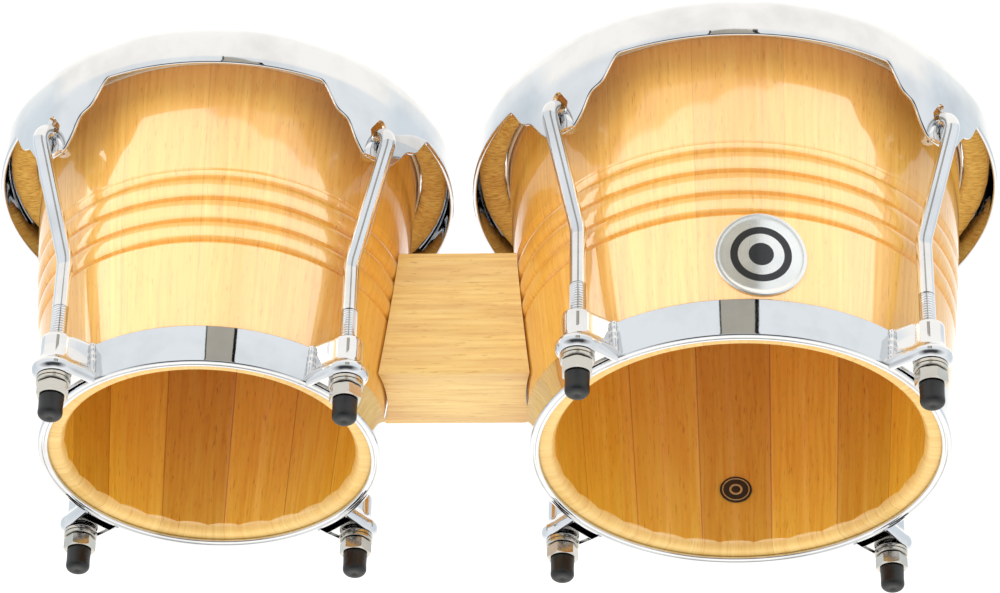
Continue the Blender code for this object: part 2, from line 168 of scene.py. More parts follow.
def choose(made, test, kind="FACE"):
    """In edit mode, selects only the faces, edges or points that pass the test."""
    form = bmesh.from_edit_mesh(made.data)
    shape.select_mode(type=kind)
    shape.select_all(action="DESELECT")
    items = {"FACE": form.faces, "EDGE": form.edges, "VERT": form.verts}[kind]
    for item in items:
        item.select_set(bool(test(item)))
    bmesh.update_edit_mesh(made.data)


def smooth(made, angle=30):
    pick(made)
    bpy.ops.object.shade_smooth_by_angle(angle=radians(angle))
    return made


def settle(made):
    """Puts the piece's place into its mesh."""
    pick(made)
    bpy.ops.object.transform_apply(location=True, rotation=True, scale=True)
    return made


def merge(made, inside=False):
    """Closes seams and poles and turns the faces outwards."""
    pick(made)
    edit()
    shape.select_all(action="SELECT")
    shape.remove_doubles(threshold=0.000002)
    shape.normals_make_consistent(inside=inside)
    leave()
    return made


def spun(name, section, turns=TURNS, x=0.0, closed=False):
    """A section of (radius, height) points drawn edge by edge, then turned about the upright axis at x."""
    clear()
    shape.primitive_plane_add(size=0.001, location=(x, 0, 0))
    made = named(name)
    edit()
    shape.merge(type="CENTER")
    bpy.ops.transform.translate(value=(section[0][0], 0, section[0][1]))
    points = list(section) + ([section[0]] if closed else [])
    for (r0, z0), (r1, z1) in zip(points, points[1:]):
        shape.extrude_region_move(TRANSFORM_OT_translate={"value": (r1 - r0, 0, z1 - z0)})
    shape.select_all(action="SELECT")
    shape.remove_doubles(threshold=0.000002)
    leave()
    lathe = made.modifiers.new("lathe", "SCREW")
    lathe.angle = tau
    lathe.steps = lathe.render_steps = turns
    lathe.use_merge_vertices = True
    lathe.merge_threshold = 0.000002
    bpy.ops.object.modifier_apply(modifier=lathe.name)
    settle(made)
    return merge(made)


def cut(made, cutter, operation="DIFFERENCE", solver="EXACT"):
    """Applies a boolean with another piece, which is then removed."""
    pick(made)
    modifier = made.modifiers.new("cut", "BOOLEAN")
    modifier.operation = operation
    modifier.solver = solver
    modifier.object = cutter
    bpy.ops.object.modifier_apply(modifier=modifier.name)
    bpy.data.objects.remove(cutter, do_unlink=True)
    return made


def soften(made, width, segments=2, angle=35):
    """Rounds the piece's sharp edges."""
    pick(made)
    modifier = made.modifiers.new("soften", "BEVEL")
    modifier.width = width
    modifier.segments = segments
    modifier.limit_method = "ANGLE"
    modifier.angle_limit = radians(angle)
    bpy.ops.object.modifier_apply(modifier=modifier.name)
    return made


def box(name, low, high):
    clear()
    low, high = Vector(low), Vector(high)
    shape.primitive_cube_add(size=1, location=(low + high) / 2, scale=high - low)
    return settle(named(name))


def joined(name, *made):
    pick(*made)
    bpy.ops.object.join()
    return named(name)


def copied(pattern, name, place):
    """A copy with its own mesh, put in its place."""
    made = pattern.copy()
    made.data = pattern.data.copy()
    made.data.transform(place)
    made.name = name
    made.data.name = name
    bpy.context.scene.collection.objects.link(made)
    return made


def discard(*made):
    for one in made:
        bpy.data.objects.remove(one, do_unlink=True)


def paint(made, *finishes):
    made.data.materials.clear()
    for finish in finishes:
        made.data.materials.append(finish)
    return made


def fit(made, body, slot, *nodes):
    """The piece rides on its body and stands for its nodes; its slot is not used."""
    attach(made, body)
    if nodes:
        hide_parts(*nodes)
    return made


def move_points(made, where):
    """Moves each point to where(point)."""
    for vertex in made.data.vertices:
        vertex.co = where(vertex.co)
    made.data.update()


def arc(centre, radius, start, end, count):
    steps = [start + (end - start) * i / (count - 1) for i in range(count)]
    return [(centre[0] + radius * cos(a), centre[1] + radius * sin(a)) for a in steps]


def between(start, end, count):
    return [start + (end - start) * i / (count - 1) for i in range(count)]


def finish(name, **sockets):
    made = bpy.data.materials.new(name)
    made.use_nodes = True
    shader = made.node_tree.nodes["Principled BSDF"]
    for socket, value in sockets.items():
        shader.inputs[socket.replace("_", " ")].default_value = value
    return made, made.node_tree, shader


def node(tree, kind, inputs=(), **settings):
    """Adds a node; inputs are (socket, value or output) pairs."""
    made = tree.nodes.new(f"ShaderNode{kind}")
    for key, value in settings.items():
        setattr(made, key, value)
    for socket, value in inputs:
        if isinstance(value, bpy.types.NodeSocket):
            tree.links.new(value, made.inputs[socket])
        else:
            made.inputs[socket].default_value = value
    return made


def maths(tree, operation, *values, clamp=False):
    return node(tree, "Math", enumerate(values), operation=operation, use_clamp=clamp).outputs[0]


def times(tree, first, second):
    return maths(tree, "MULTIPLY", first, second)


def over_by(tree, first, second):
    return maths(tree, "DIVIDE", first, second)


def place_on(tree, x):
    """Object coordinates about a drum's axis."""
    coordinates = node(tree, "TexCoord").outputs["Object"]
    return node(tree, "Mapping", [("Vector", coordinates), ("Location", (-x, 0, 0))]).outputs[0]


def vector(tree, x, y, z):
    return node(tree, "CombineXYZ", [("X", x), ("Y", y), ("Z", z)]).outputs[0]


def grain(tree, where, scale, detail=3.0, roughness=0.55):
    inputs = [("Vector", where), ("Scale", scale), ("Detail", detail), ("Roughness", roughness)]
    return node(tree, "TexNoise", inputs).outputs["Fac"]


def ramp(tree, value, *stops):
    made = node(tree, "ValToRGB", [("Fac", value)])
    elements = made.color_ramp.elements
    while len(elements) < len(stops):
        elements.new(0.5)
    for element, (position, colour) in zip(elements, stops):
        element.position = position
        element.color = (*colour, 1)
    return made.outputs["Color"]


def mix(tree, kind, factor, first, second):
    inputs = [(0, factor), (6, first), (7, second)]
    return node(tree, "Mix", inputs, data_type="RGBA", blend_type=kind, clamp_factor=True).outputs[2]


def bump(tree, shader, height, strength, distance):
    inputs = [("Height", height), ("Strength", strength), ("Distance", distance)]
    tree.links.new(node(tree, "Bump", inputs).outputs[0], shader.inputs["Normal"])


def stave_wood(name, drum, tones, lacquer, pore_depth, joint_depth, joint_line, odd_stave):
    """Upright grain in separate staves: each has its own tone and its own run of the grain."""
    sockets = {"Roughness": 0.38, "Coat_Weight": lacquer, "Coat_Roughness": 0.05, "Coat_IOR": 1.5}
    sockets["Specular_IOR_Level"] = 0.2 + 0.3 * lacquer
    made, tree, shader = finish(name, **sockets)
    parts = node(tree, "SeparateXYZ", [("Vector", place_on(tree, drum["x"]))]).outputs
    angle = maths(tree, "ARCTAN2", parts["Y"], parts["X"])
    pitch = tau / drum["staves"]
    count = maths(tree, "ADD", over_by(tree, angle, pitch), 0.5 + drum["staves"])
    stave = maths(tree, "FLOOR", count)
    across = times(tree, angle, drum["bottom"])
    sway = grain(tree, vector(tree, times(tree, across, 30), times(tree, parts["Z"], 14), stave), 1.0, 2)
    bent = maths(tree, "ADD", across, times(tree, maths(tree, "SUBTRACT", sway, 0.5), 0.0035))
    layer = times(tree, stave, 7.31)

    def streaks(wide, long, detail):
        u = over_by(tree, bent, wide)
        v = over_by(tree, parts["Z"], long)
        return grain(tree, vector(tree, u, v, layer), 1.0, detail)

    broad = streaks(0.0075, 0.13, 2)
    fine = streaks(0.0016, 0.045, 3)
    dashes = streaks(0.0007, 0.0075, 2)
    base = ramp(tree, fine, (0.30, tones[0]), (0.52, tones[1]), (0.72, tones[2]))
    warm = mix(tree, "MIX", times(tree, ramp_value(tree, broad, 0.42, 0.66), 0.55), base, (*tones[3], 1))
    toss = node(tree, "TexWhiteNoise", [("W", stave)], noise_dimensions="1D").outputs["Value"]
    tint = ramp(tree, toss, (0.0, odd_stave), (0.5, (1, 1, 1)), (1.0, (1.0, 0.965, 0.90)))
    toned = mix(tree, "MULTIPLY", 1.0, warm, tint)
    pores = ramp_value(tree, dashes, 0.60, 0.74)
    marked = mix(tree, "MULTIPLY", times(tree, pores, pore_depth), toned, (0.60, 0.38, 0.16, 1))
    edge = maths(tree, "ABSOLUTE", maths(tree, "SUBTRACT", maths(tree, "FRACT", count), 0.5))
    joint = ramp_value(tree, edge, joint_line, 0.4985)
    coloured = mix(tree, "MULTIPLY", times(tree, joint, joint_depth), marked, (0.55, 0.33, 0.14, 1))
    tree.links.new(coloured, shader.inputs["Base Color"])
    rough = node(tree, "MapRange", [("Value", fine), ("To Min", 0.30), ("To Max", 0.46)]).outputs[0]
    tree.links.new(rough, shader.inputs["Roughness"])
    height = maths(tree, "SUBTRACT", fine, times(tree, maths(tree, "ADD", pores, joint), 0.8))
    bump(tree, shader, height, 0.12, 0.0004)
    return made


def ramp_value(tree, value, start, end):
    """0 below start, 1 above end."""
    inputs = [("Value", value), ("From Min", start), ("From Max", end)]
    return node(tree, "MapRange", inputs, clamp=True).outputs[0]


def block_wood():
    """Level grain along X, with short dark pores, under a thinner coat."""
    sockets = {"Roughness": 0.40, "Coat_Weight": 0.45, "Coat_Roughness": 0.12, "Coat_IOR": 1.5}
    made, tree, shader = finish("block_maple", **sockets)
    parts = node(tree, "SeparateXYZ", [("Vector", place_on(tree, 0.0))]).outputs

    def run(long, tall, detail, seed):
        x = over_by(tree, parts["X"], long)
        y = maths(tree, "ADD", over_by(tree, parts["Y"], tall), seed)
        z = over_by(tree, parts["Z"], tall)
        return grain(tree, vector(tree, x, y, z), 1.0, detail)

    broad = run(0.09, 0.011, 2, 3.0)
    fine = run(0.030, 0.0016, 3, 11.0)
    dashes = run(0.0065, 0.0009, 2, 29.0)
    base = ramp(tree, fine, (0.30, (0.82, 0.49, 0.135)), (0.52, (0.94, 0.63, 0.20)),
        (0.74, (0.98, 0.71, 0.27)))
    warm = mix(tree, "MIX", times(tree, ramp_value(tree, broad, 0.45, 0.70), 0.5), base,
        (0.72, 0.40, 0.14, 1))
    pores = ramp_value(tree, dashes, 0.62, 0.76)
    coloured = mix(tree, "MULTIPLY", times(tree, pores, 0.60), warm, (0.55, 0.32, 0.14, 1))
    tree.links.new(coloured, shader.inputs["Base Color"])
    height = maths(tree, "SUBTRACT", fine, times(tree, pores, 1.0))
    bump(tree, shader, height, 0.15, 0.0004)
    return made


def plated(name, colour, smoothest, roughest, marks, dark=0.86):
    """Plated metal: an even mirror with faint clouds of handling wear and fine polishing marks."""
    made, tree, shader = finish(name, Metallic=1.0)
    where = node(tree, "TexCoord").outputs["Object"]
    clouds = grain(tree, where, 34, 4)
    fine = grain(tree, where, 900, 3)
    shade = tuple(c * dark for c in colour)
    tone = ramp(tree, clouds, (0.30, shade), (0.55, colour), (1.0, colour))
    tree.links.new(tone, shader.inputs["Base Color"])
    wear = maths(tree, "ADD", times(tree, clouds, 0.7), times(tree, fine, 0.3))
    inputs = [("Value", wear), ("From Min", 0.35), ("From Max", 0.75), ("To Min", smoothest),
        ("To Max", roughest)]
    tree.links.new(node(tree, "MapRange", inputs).outputs[0], shader.inputs["Roughness"])
    bump(tree, shader, fine, marks, 0.00005)
    return made


def head_hide():
    """Natural hide stretched over the top: cream with cloudy patches and pores."""
    made, tree, shader = finish("head_hide", Roughness=0.62, Sheen_Weight=0.15, Sheen_Roughness=0.4)
    where = node(tree, "TexCoord").outputs["Object"]
    clouds = grain(tree, where, 22, 5)
    pores = grain(tree, where, 1100, 2)
    tone = ramp(tree, clouds, (0.28, (0.66, 0.52, 0.33)), (0.50, (0.80, 0.70, 0.52)),
        (0.75, (0.86, 0.79, 0.64)))
    spots = ramp_value(tree, pores, 0.62, 0.72)
    marked = mix(tree, "MULTIPLY", times(tree, spots, 0.35), tone, (0.6, 0.45, 0.3, 1))
    tree.links.new(marked, shader.inputs["Base Color"])
    bump(tree, shader, maths(tree, "ADD", times(tree, clouds, 2.0), pores), 0.25, 0.0003)
    return made


def lapped_hide(drum):
    """The hide's raw suede side, with nap that runs outwards round the lap."""
    name = f"{drum['name']}_suede_hide"
    made, tree, shader = finish(name, Roughness=0.92, Sheen_Weight=0.15, Sheen_Roughness=0.5)
    centred = place_on(tree, drum["x"])
    parts = node(tree, "SeparateXYZ", [("Vector", centred)]).outputs
    angle = maths(tree, "ARCTAN2", parts["Y"], parts["X"])
    around = times(tree, angle, drum["top"])
    reach = maths(tree, "SQRT", maths(tree, "ADD", times(tree, parts["X"], parts["X"]),
        times(tree, parts["Y"], parts["Y"])))
    nap_place = vector(tree, over_by(tree, around, 0.0006), over_by(tree, reach, 0.0035),
        over_by(tree, parts["Z"], 0.0035))
    nap = grain(tree, nap_place, 1.0, 3)
    clouds = grain(tree, centred, 70, 4)
    speckle = grain(tree, centred, 1500, 2)
    tone = ramp(tree, nap, (0.30, (0.58, 0.29, 0.04)), (0.50, (0.92, 0.57, 0.11)), (0.70, (0.99, 0.76, 0.22)))
    patchy = mix(tree, "MULTIPLY", times(tree, ramp_value(tree, clouds, 0.45, 0.7), 0.5), tone,
        (0.82, 0.62, 0.38, 1))
    tree.links.new(patchy, shader.inputs["Base Color"])
    bump(tree, shader, maths(tree, "ADD", nap, times(tree, speckle, 0.5)), 0.8, 0.0006)
    return made


def moulded_rubber():
    made, tree, shader = finish("cap_rubber", Base_Color=(0.02, 0.02, 0.02, 1), Roughness=0.42)
    where = node(tree, "TexCoord").outputs["Object"]
    dust = grain(tree, where, 260, 4)
    tone = ramp(tree, dust, (0.35, (0.005, 0.005, 0.005)), (0.62, (0.010, 0.010, 0.010)),
        (0.85, (0.03, 0.03, 0.03)))
    tree.links.new(tone, shader.inputs["Base Color"])
    rough = node(tree, "MapRange", [("Value", dust), ("To Min", 0.34), ("To Max", 0.55)]).outputs[0]
    tree.links.new(rough, shader.inputs["Roughness"])
    bump(tree, shader, grain(tree, where, 1800, 2), 0.15, 0.0001)
    return made


def enamel(name, colour, roughness):
    made, tree, shader = finish(name, Roughness=roughness, Coat_Weight=0.3, Coat_Roughness=0.1)
    where = node(tree, "TexCoord").outputs["Object"]
    speckle = grain(tree, where, 900, 3)
    dim = tuple(c * 0.7 for c in colour)
    tree.links.new(ramp(tree, speckle, (0.35, dim), (0.65, colour)), shader.inputs["Base Color"])
    bump(tree, shader, speckle, 0.08, 0.0001)
    return made


OUTSIDE_TONES = ((0.82, 0.365, 0.042), (0.90, 0.465, 0.062), (0.94, 0.535, 0.095), (0.87, 0.405, 0.042))
INSIDE_TONES = ((0.90, 0.43, 0.028), (0.98, 0.56, 0.050), (0.99, 0.64, 0.080), (0.92, 0.46, 0.028))
MOUTH_TONES = ((0.88, 0.54, 0.16), (0.95, 0.63, 0.21), (0.98, 0.69, 0.26), (0.91, 0.57, 0.17))
OUTSIDE_MARKS = (0.58, 0.42, 0.4935, (0.90, 0.86, 0.78))
INSIDE_MARKS = (0.66, 0.90, 0.4860, (0.80, 0.72, 0.58))
SHELL_WOOD = {d["name"]: stave_wood(f"{d['name']}_lacquered_wood", d, OUTSIDE_TONES, 1.0,
    *OUTSIDE_MARKS) for d in DRUMS}
BORE_WOOD = {d["name"]: stave_wood(f"{d['name']}_bore_wood", d, INSIDE_TONES, 0.0, *INSIDE_MARKS)
    for d in DRUMS}
MOUTH_WOOD = {d["name"]: stave_wood(f"{d['name']}_mouth_wood", d, MOUTH_TONES, 0.3, *OUTSIDE_MARKS)
    for d in DRUMS}
BLOCK_WOOD = block_wood()
CHROME = plated("mirror_chrome", (0.76, 0.76, 0.765), 0.02, 0.07, 0.02)
ROD_CHROME = plated("rod_chrome", (0.755, 0.76, 0.77), 0.04, 0.12, 0.04)
NICKEL = plated("satin_nickel", (0.62, 0.585, 0.525), 0.14, 0.30, 0.12)
STEEL = plated("bolt_steel", (0.60, 0.60, 0.61), 0.25, 0.45, 0.2)
BADGE_METAL = plated("badge_plate_chrome", (0.95, 0.94, 0.90), 0.16, 0.26, 0.10)
HEAD_HIDE = head_hide()
SUEDE = {d["name"]: lapped_hide(d) for d in DRUMS}
RUBBER = moulded_rubber()
BLACK_ENAMEL = enamel("black_enamel", (0.015, 0.015, 0.016), 0.25)
LABEL_PAPER = enamel("label_paper", (0.02, 0.018, 0.016), 0.5)
LABEL_LINE = enamel("label_line", (0.62, 0.42, 0.20), 0.5)

# ---- shells
BEAD_LINES = (0.1125, 0.1019, 0.0909, 0.0813)  # grooves between the turned beads
BEAD_CROWN = 0.0005
GROOVE_DEPTH = 0.0014
COVE = 0.0034  # height of the cove over the top bead
MOUTH_WIDE, MOUTH_TALL = 0.0036, 0.0070


def bead_points(drum, upper, lower):
    """A convex bead between two grooves, from the top down."""
    points = []
    for t in between(0.0, 1.0, 13)[1:-1]:
        z = upper + (lower - upper) * t
        swell = (1 - abs(2 * t - 1) ** 2.6) ** 0.55
        points.append((shell_radius(drum, z) - GROOVE_DEPTH + (GROOVE_DEPTH + BEAD_CROWN) * swell, z))
    return points


def shell_section(drum):
    """Bearing edge, barrel, cove, three beads, barrel and open end, from the top down."""
    top, high, low = drum["top"], drum["high"], drum["low"]
    section = [(0, high), (top - 0.0060, high)]
    section += arc((top - 0.0036, high - 0.0036), 0.0036, pi / 2, 0.15, 7)
    section += [(shell_radius(drum, z), z) for z in between(high - 0.0050, BEAD_LINES[0] + COVE + 0.0012, 20)]
    edge = BEAD_LINES[0] + COVE
    section.append((shell_radius(drum, edge) - 0.0003, edge + 0.0004))
    for t in between(0.0, 1.0, 7):
        z = edge - COVE * t
        section.append((shell_radius(drum, z) - 0.0002 - (GROOVE_DEPTH - 0.0002) * t ** 1.7, z))
    for upper, lower in zip(BEAD_LINES, BEAD_LINES[1:]):
        section += bead_points(drum, upper, lower)
        section.append((shell_radius(drum, lower) - GROOVE_DEPTH, lower))
    foot = BEAD_LINES[-1]
    section += [(shell_radius(drum, foot - 0.0009) - 0.0004, foot - 0.0009)]
    section += [(shell_radius(drum, z), z) for z in between(foot - 0.0018, low + 0.0012, 14)]
    section += arc((drum["bottom"] - 0.0010, low + 0.0010), 0.0010, -0.2, -pi / 2, 4)
    section.append((0, low))
    return section


def stave_hollow(drum):
    """The many-sided hollow of the dressed staves, two facets each, wider at the top."""
    clear()
    low, high = drum["low"] - 0.01, drum["high"] + 0.01
    sides = 2 * drum["staves"]
    corner = 1 / cos(pi / sides)
    sizes = {"radius1": stave_distance(drum, low) * corner, "radius2": stave_distance(drum, high) * corner}
    place = (drum["x"], 0, (low + high) / 2)
    shape.primitive_cone_add(vertices=sides, depth=high - low, location=place, **sizes)
    made = named("stave_hollow")
    # A cone's first corner is on +Y. The flats, not the corners, sit where the staves' middles are.
    bottom = stave_distance(drum, low) * corner
    first = min((v.co for v in made.data.vertices if v.co.z < 0),
        key=lambda co: abs(co.length - bottom) + abs(co.x))
    now = atan2(first.y, first.x)
    made.rotation_euler.z = pi / sides - now
    return settle(made)


def mouth_rounding(drum):
    """Trims the inner edge of the open end to a soft quarter round."""
    low, inner = drum["low"], drum["bottom"] - WALL
    flat = inner + MOUTH_WIDE
    section = [(0, low + 0.0125), (inner - 0.0004, low + 0.0094)]
    for t in between(0.12, pi / 2, 10):
        section.append((flat - MOUTH_WIDE * cos(t), low + MOUTH_TALL * (1 - sin(t))))
    section += [(flat, low - 0.0005), (0, low - 0.0005)]
    return spun("mouth_rounding", section, x=drum["x"])


def make_shell(drum):
    name = drum["name"]
    shell = spun(f"{name}_stave_shell", shell_section(drum), x=drum["x"])
    cut(shell, mouth_rounding(drum))
    cut(shell, stave_hollow(drum))
    merge(shell)
    smooth(shell, 16)
    paint(shell, SHELL_WOOD[name], BORE_WOOD[name], MOUTH_WOOD[name])
    for face in shell.data.polygons:
        out = Vector((face.center.x - drum["x"], face.center.y, 0))
        inward = face.normal.dot(out.normalized()) < -0.5
        if inward and face.center.z > drum["low"] + MOUTH_TALL * 0.95:
            face.material_index = 1
        elif face.center.z < drum["low"] + MOUTH_TALL * 1.1 and out.length < drum["bottom"] - 0.0016:
            face.material_index = 2
    return fit(shell, "root", "lacquered_wood", f"{name}_shell")


# ---- bottom ring
def make_ring(drum):
    """A rolled band with a turned-in lip that has a shallow channel on its underside."""
    name = drum["name"]
    low, high = drum["ring_low"], drum["ring_high"]
    seat = shell_radius(drum, high) + GAP
    face = seat + 0.0020
    section = [(seat, high - 0.0006), (seat + 0.0005, high), (face - 0.0006, high), (face, high - 0.0007)]
    section += [(face + (drum["ring"] - face) * t, high + (low + 0.0022 - high) * t)
        for t in (0.33, 0.66, 1.0)]
    section += arc((drum["ring"] - 0.0012, low + 0.0012), 0.0012, 0, -pi / 2, 6)
    section += [(drum["ring"] - 0.0018, low + 0.0001), (drum["ring"] - 0.0021, low + 0.0008)]
    section += [(drum["ring"] - 0.0027, low + 0.0008), (drum["ring"] - 0.0030, low + 0.0002)]
    section += arc((drum["lip"] + 0.0007, low + 0.0008), 0.0007, -pi / 2, -pi, 4)
    section += [(drum["lip"], low + 0.0015), (drum["ring"] - 0.0020, low + 0.0015)]
    ring = spun(f"{name}_chromed_ring", section, x=drum["x"], closed=True)
    smooth(ring, 40)
    paint(ring, CHROME)
    return fit(ring, "root", "chrome", f"{name}_bottom_ring")


# ---- lug brackets
BRACKET_BOTTOM, BRACKET_TOP = 0.0202, 0.0398
WALL_NOSE, WALL_FOOT = 0.0068, 0.0090
ROD_HOLE = 0.0040


def ring_face(drum, height):
    """Outer face of the bottom ring."""
    top = shell_radius(drum, drum["ring_high"]) + GAP + 0.0020
    t = (height - drum["ring_low"]) / (drum["ring_high"] - drum["ring_low"])
    return drum["ring"] + (top - drum["ring"]) * min(max(t, 0.0), 1.0)


def bracket_outline(drum, nose, foot, height, inset=0.0):
    """Round nose at the rod and straight sides to the ring, as seen from above."""
    back = ring_face(drum, height) - drum["rods"] - 0.0016 + inset
    lean = asin((foot - nose) / -back)
    start = pi / 2 + lean
    points = arc((0, 0), nose, -start, start, 25)
    first, last = points[0], points[-1]
    sides = between(0.0, 1.0, 6)[1:]
    points += [(last[0] + (back - last[0]) * t, last[1] + (foot - last[1]) * t) for t in sides]
    points += [(back, foot * t) for t in (0.5, 0.0, -0.5)]
    points += [(back + (first[0] - back) * t, -foot + (first[1] + foot) * t)
        for t in between(0.0, 1.0, 6)[:-1]]
    return points


def lofted(name, levels):
    """Outlines of (x, y) points at their heights, walled and capped."""
    mesh = bpy.data.meshes.new(name)
    form = bmesh.new()
    rows = [[form.verts.new((x, y, z)) for x, y in outline] for outline, z in levels]
    count = len(rows[0])
    for lower, upper in zip(rows, rows[1:]):
        for i in range(count):
            form.faces.new((lower[i], lower[(i + 1) % count], upper[(i + 1) % count], upper[i]))
    form.faces.new(rows[0][::-1])
    form.faces.new(rows[-1])
    form.to_mesh(mesh)
    form.free()
    made = bpy.data.objects.new(name, mesh)
    bpy.context.scene.collection.objects.link(made)
    return merge(made)


def bracket_pattern(drum):
    """Pressed bracket: a closed wall that flares to a rolled lip, with a recessed plate under it."""
    nose, foot = WALL_NOSE, WALL_FOOT
    wall = [(BRACKET_TOP, -0.0004), (0.0395, -0.0001)] + [(z, 0.0) for z in (0.0392, 0.0380, 0.0340, 0.0295)]
    flare = [(0.0280, 0.0001), (0.0272, 0.0004), (0.0266, 0.0010), (0.0261, 0.0017), (0.0256, 0.0022)]
    roll = [(0.0250, 0.0026), (0.0242, 0.0029), (0.0232, 0.0029), (0.0222, 0.0026), (0.0213, 0.0020)]
    under = [(0.0206, 0.0013), (BRACKET_BOTTOM, 0.0006)]
    levels = []
    for z, grow in wall + flare + roll + under:
        spread = grow * 0.76 if grow > 0 else grow
        levels.append((bracket_outline(drum, nose + grow, foot + spread, z), z))
    bracket = lofted("bracket_pattern", levels[::-1])
    recess = [(bracket_outline(drum, nose + 0.0004, foot - 0.0010, 0.0210, 0.0042), z)
        for z in (0.0190, 0.0210)]
    cut(bracket, lofted("bracket_recess", recess))
    back = ring_face(drum, 0.021) - drum["rods"]
    slot = box("bracket_slot", (-0.0200, -0.0080, 0.0190), (back + 0.0024, 0.0080, 0.0262))
    cut(bracket, slot)
    bore = spun("bracket_bore", [(0, 0.06), (ROD_HOLE, 0.06), (ROD_HOLE, 0.01), (0, 0.01)], 32)
    cut(bracket, bore)
    return smooth(merge(bracket), 28)


def weld_pattern(drum):
    """A lumpy weld bead that stands on the ring beside the bracket."""
    clear()
    length = 0.0168
    low = BRACKET_BOTTOM + 0.0024
    shape.primitive_cylinder_add(vertices=16, radius=0.0016, depth=length, location=(0, 0, low + length / 2))
    bead = settle(named("weld_pattern"))
    pick(bead)
    edit()
    choose(bead, lambda edge: abs(edge.verts[0].co.z - edge.verts[1].co.z) > length / 2, "EDGE")
    shape.subdivide(number_cuts=44)
    leave()

    def ripple(co):
        t = (co.z - low) / length
        end = min(1.0, sqrt(max(0.0, 1 - abs(2 * t - 1) ** 6)) + 0.15)
        lumps = noise.noise(Vector((0, 0, co.z)) * 420)
        wave = 1 + 0.05 * sin((co.z + lumps * 0.0012) / 0.0027 * tau) + 0.20 * lumps
        wave += 0.12 * noise.noise(co * 700)
        lean = ring_face(drum, co.z) - ring_face(drum, low)
        return Vector((co.x * wave * end * 0.8 + lean, co.y * wave * end, co.z))

    move_points(bead, ripple)
    return smooth(bead, 80)


def make_brackets(drum):
    name = drum["name"]
    pattern, weld = bracket_pattern(drum), weld_pattern(drum)
    for lug in LUGS:
        place = lug_place(drum, lug)
        bracket = copied(pattern, f"{name}_pressed_bracket_{lug}", place)
        paint(bracket, CHROME)
        fit(bracket, "root", "chrome", f"{name}_lug_bracket_{lug}")
        for side, word in ((1, "left"), (-1, "right")):
            out = side * (WALL_FOOT + 0.0006)
            ring = drum["ring"]
            across = sqrt(ring * ring - out * out) - drum["rods"] + 0.0002
            bead = copied(weld, f"{name}_weld_{word}_{lug}", place @ Matrix.Translation((across, out, 0)))
            paint(bead, CHROME)
            fit(bead, "root", "chrome")
    discard(pattern, weld)


# ---- tuning rods
ROD = 0.0036
ROD_END = 0.0028
ROD_LEAN = radians(20)
ROD_BEND = 0.020
HOOK = 0.0062
HOOK_HEIGHT = 0.1367
HOOK_INSET = 0.0026
HOOK_TIP = 0.1358
THREAD_TOP = 0.0565
THREAD_PITCH = 0.00125
THREAD_ROOT = 0.00305


def turn_end(angle, centre, steps):
    """Spins the selected end of the rod in its own upright plane; outwards is positive."""
    shape.spin(steps=steps, angle=-angle, center=centre, axis=(0, 1, 0))


def lift_end(made, x, z):
    shape.extrude_region_move(TRANSFORM_OT_translate={"value": (x, 0, z)})


def rod_bar(drum):
    """The bar drawn upwards from the thread: straight, leaning out, then hooked in and down."""
    hook_x = drum["rim"] - HOOK_INSET - drum["rods"]
    lean_x = hook_x + HOOK * cos(ROD_LEAN)
    lean_z = HOOK_HEIGHT - HOOK * sin(ROD_LEAN)
    bend_z = lean_z - lean_x / tan(ROD_LEAN) - ROD_BEND * tan(ROD_LEAN / 2)
    clear()
    start = THREAD_TOP - 0.0006
    shape.primitive_circle_add(vertices=32, radius=ROD, fill_type="NGON", location=(0, 0, start))
    bar = settle(named("rod_pattern"))
    pick(bar)
    edit()
    shape.select_mode(type="FACE")
    shape.select_all(action="SELECT")
    lift_end(bar, 0, 0.0012)
    lift_end(bar, 0, bend_z - start - 0.0012)
    turn_end(ROD_LEAN, (ROD_BEND, 0, bend_z), 10)
    bent_x = ROD_BEND * (1 - cos(ROD_LEAN))
    bent_z = bend_z + ROD_BEND * sin(ROD_LEAN)
    lift_end(bar, lean_x - bent_x, lean_z - bent_z)
    turn_end(-(pi + ROD_LEAN), (hook_x, 0, HOOK_HEIGHT), 28)
    lift_end(bar, 0, HOOK_TIP - HOOK_HEIGHT)
    shape.inset(thickness=0.0005)
    bpy.ops.transform.translate(value=(0, 0, -0.0004))
    shape.inset(thickness=0.0021)
    lift_end(bar, 0, 0.0012)
    leave()
    return merge(bar)


def rod_thread():
    """A cut thread: one tooth turned upwards many times, trimmed level at both ends."""
    clear()
    turns = int((THREAD_TOP - ROD_END) / THREAD_PITCH) + 3
    base = ROD_END - 1.5 * THREAD_PITCH
    shape.primitive_plane_add(size=0.001, location=(THREAD_ROOT, 0, base))
    thread = named("thread")
    edit()
    shape.merge(type="CENTER")
    crest = ROD - 0.00002 - THREAD_ROOT
    for x, z in ((0, 0.16), (crest, 0.28), (0, 0.14), (-crest, 0.28), (0, 0.14)):
        shape.extrude_region_move(TRANSFORM_OT_translate={"value": (x, 0, z * THREAD_PITCH)})
    leave()
    settle(thread)
    screw = thread.modifiers.new("thread", "SCREW")
    screw.angle = tau
    screw.screw_offset = THREAD_PITCH
    screw.iterations = turns
    screw.steps = screw.render_steps = 24
    screw.use_merge_vertices = True
    screw.merge_threshold = 0.000002
    bpy.ops.object.modifier_apply(modifier=screw.name)
    merge(thread)
    pick(thread)
    edit()
    shape.select_all(action="SELECT")
    shape.bisect(plane_co=(0, 0, ROD_END), plane_no=(0, 0, 1), clear_inner=True, use_fill=True)
    shape.select_all(action="SELECT")
    shape.bisect(plane_co=(0, 0, THREAD_TOP), plane_no=(0, 0, 1), clear_outer=True, use_fill=True)
    leave()
    return merge(thread)


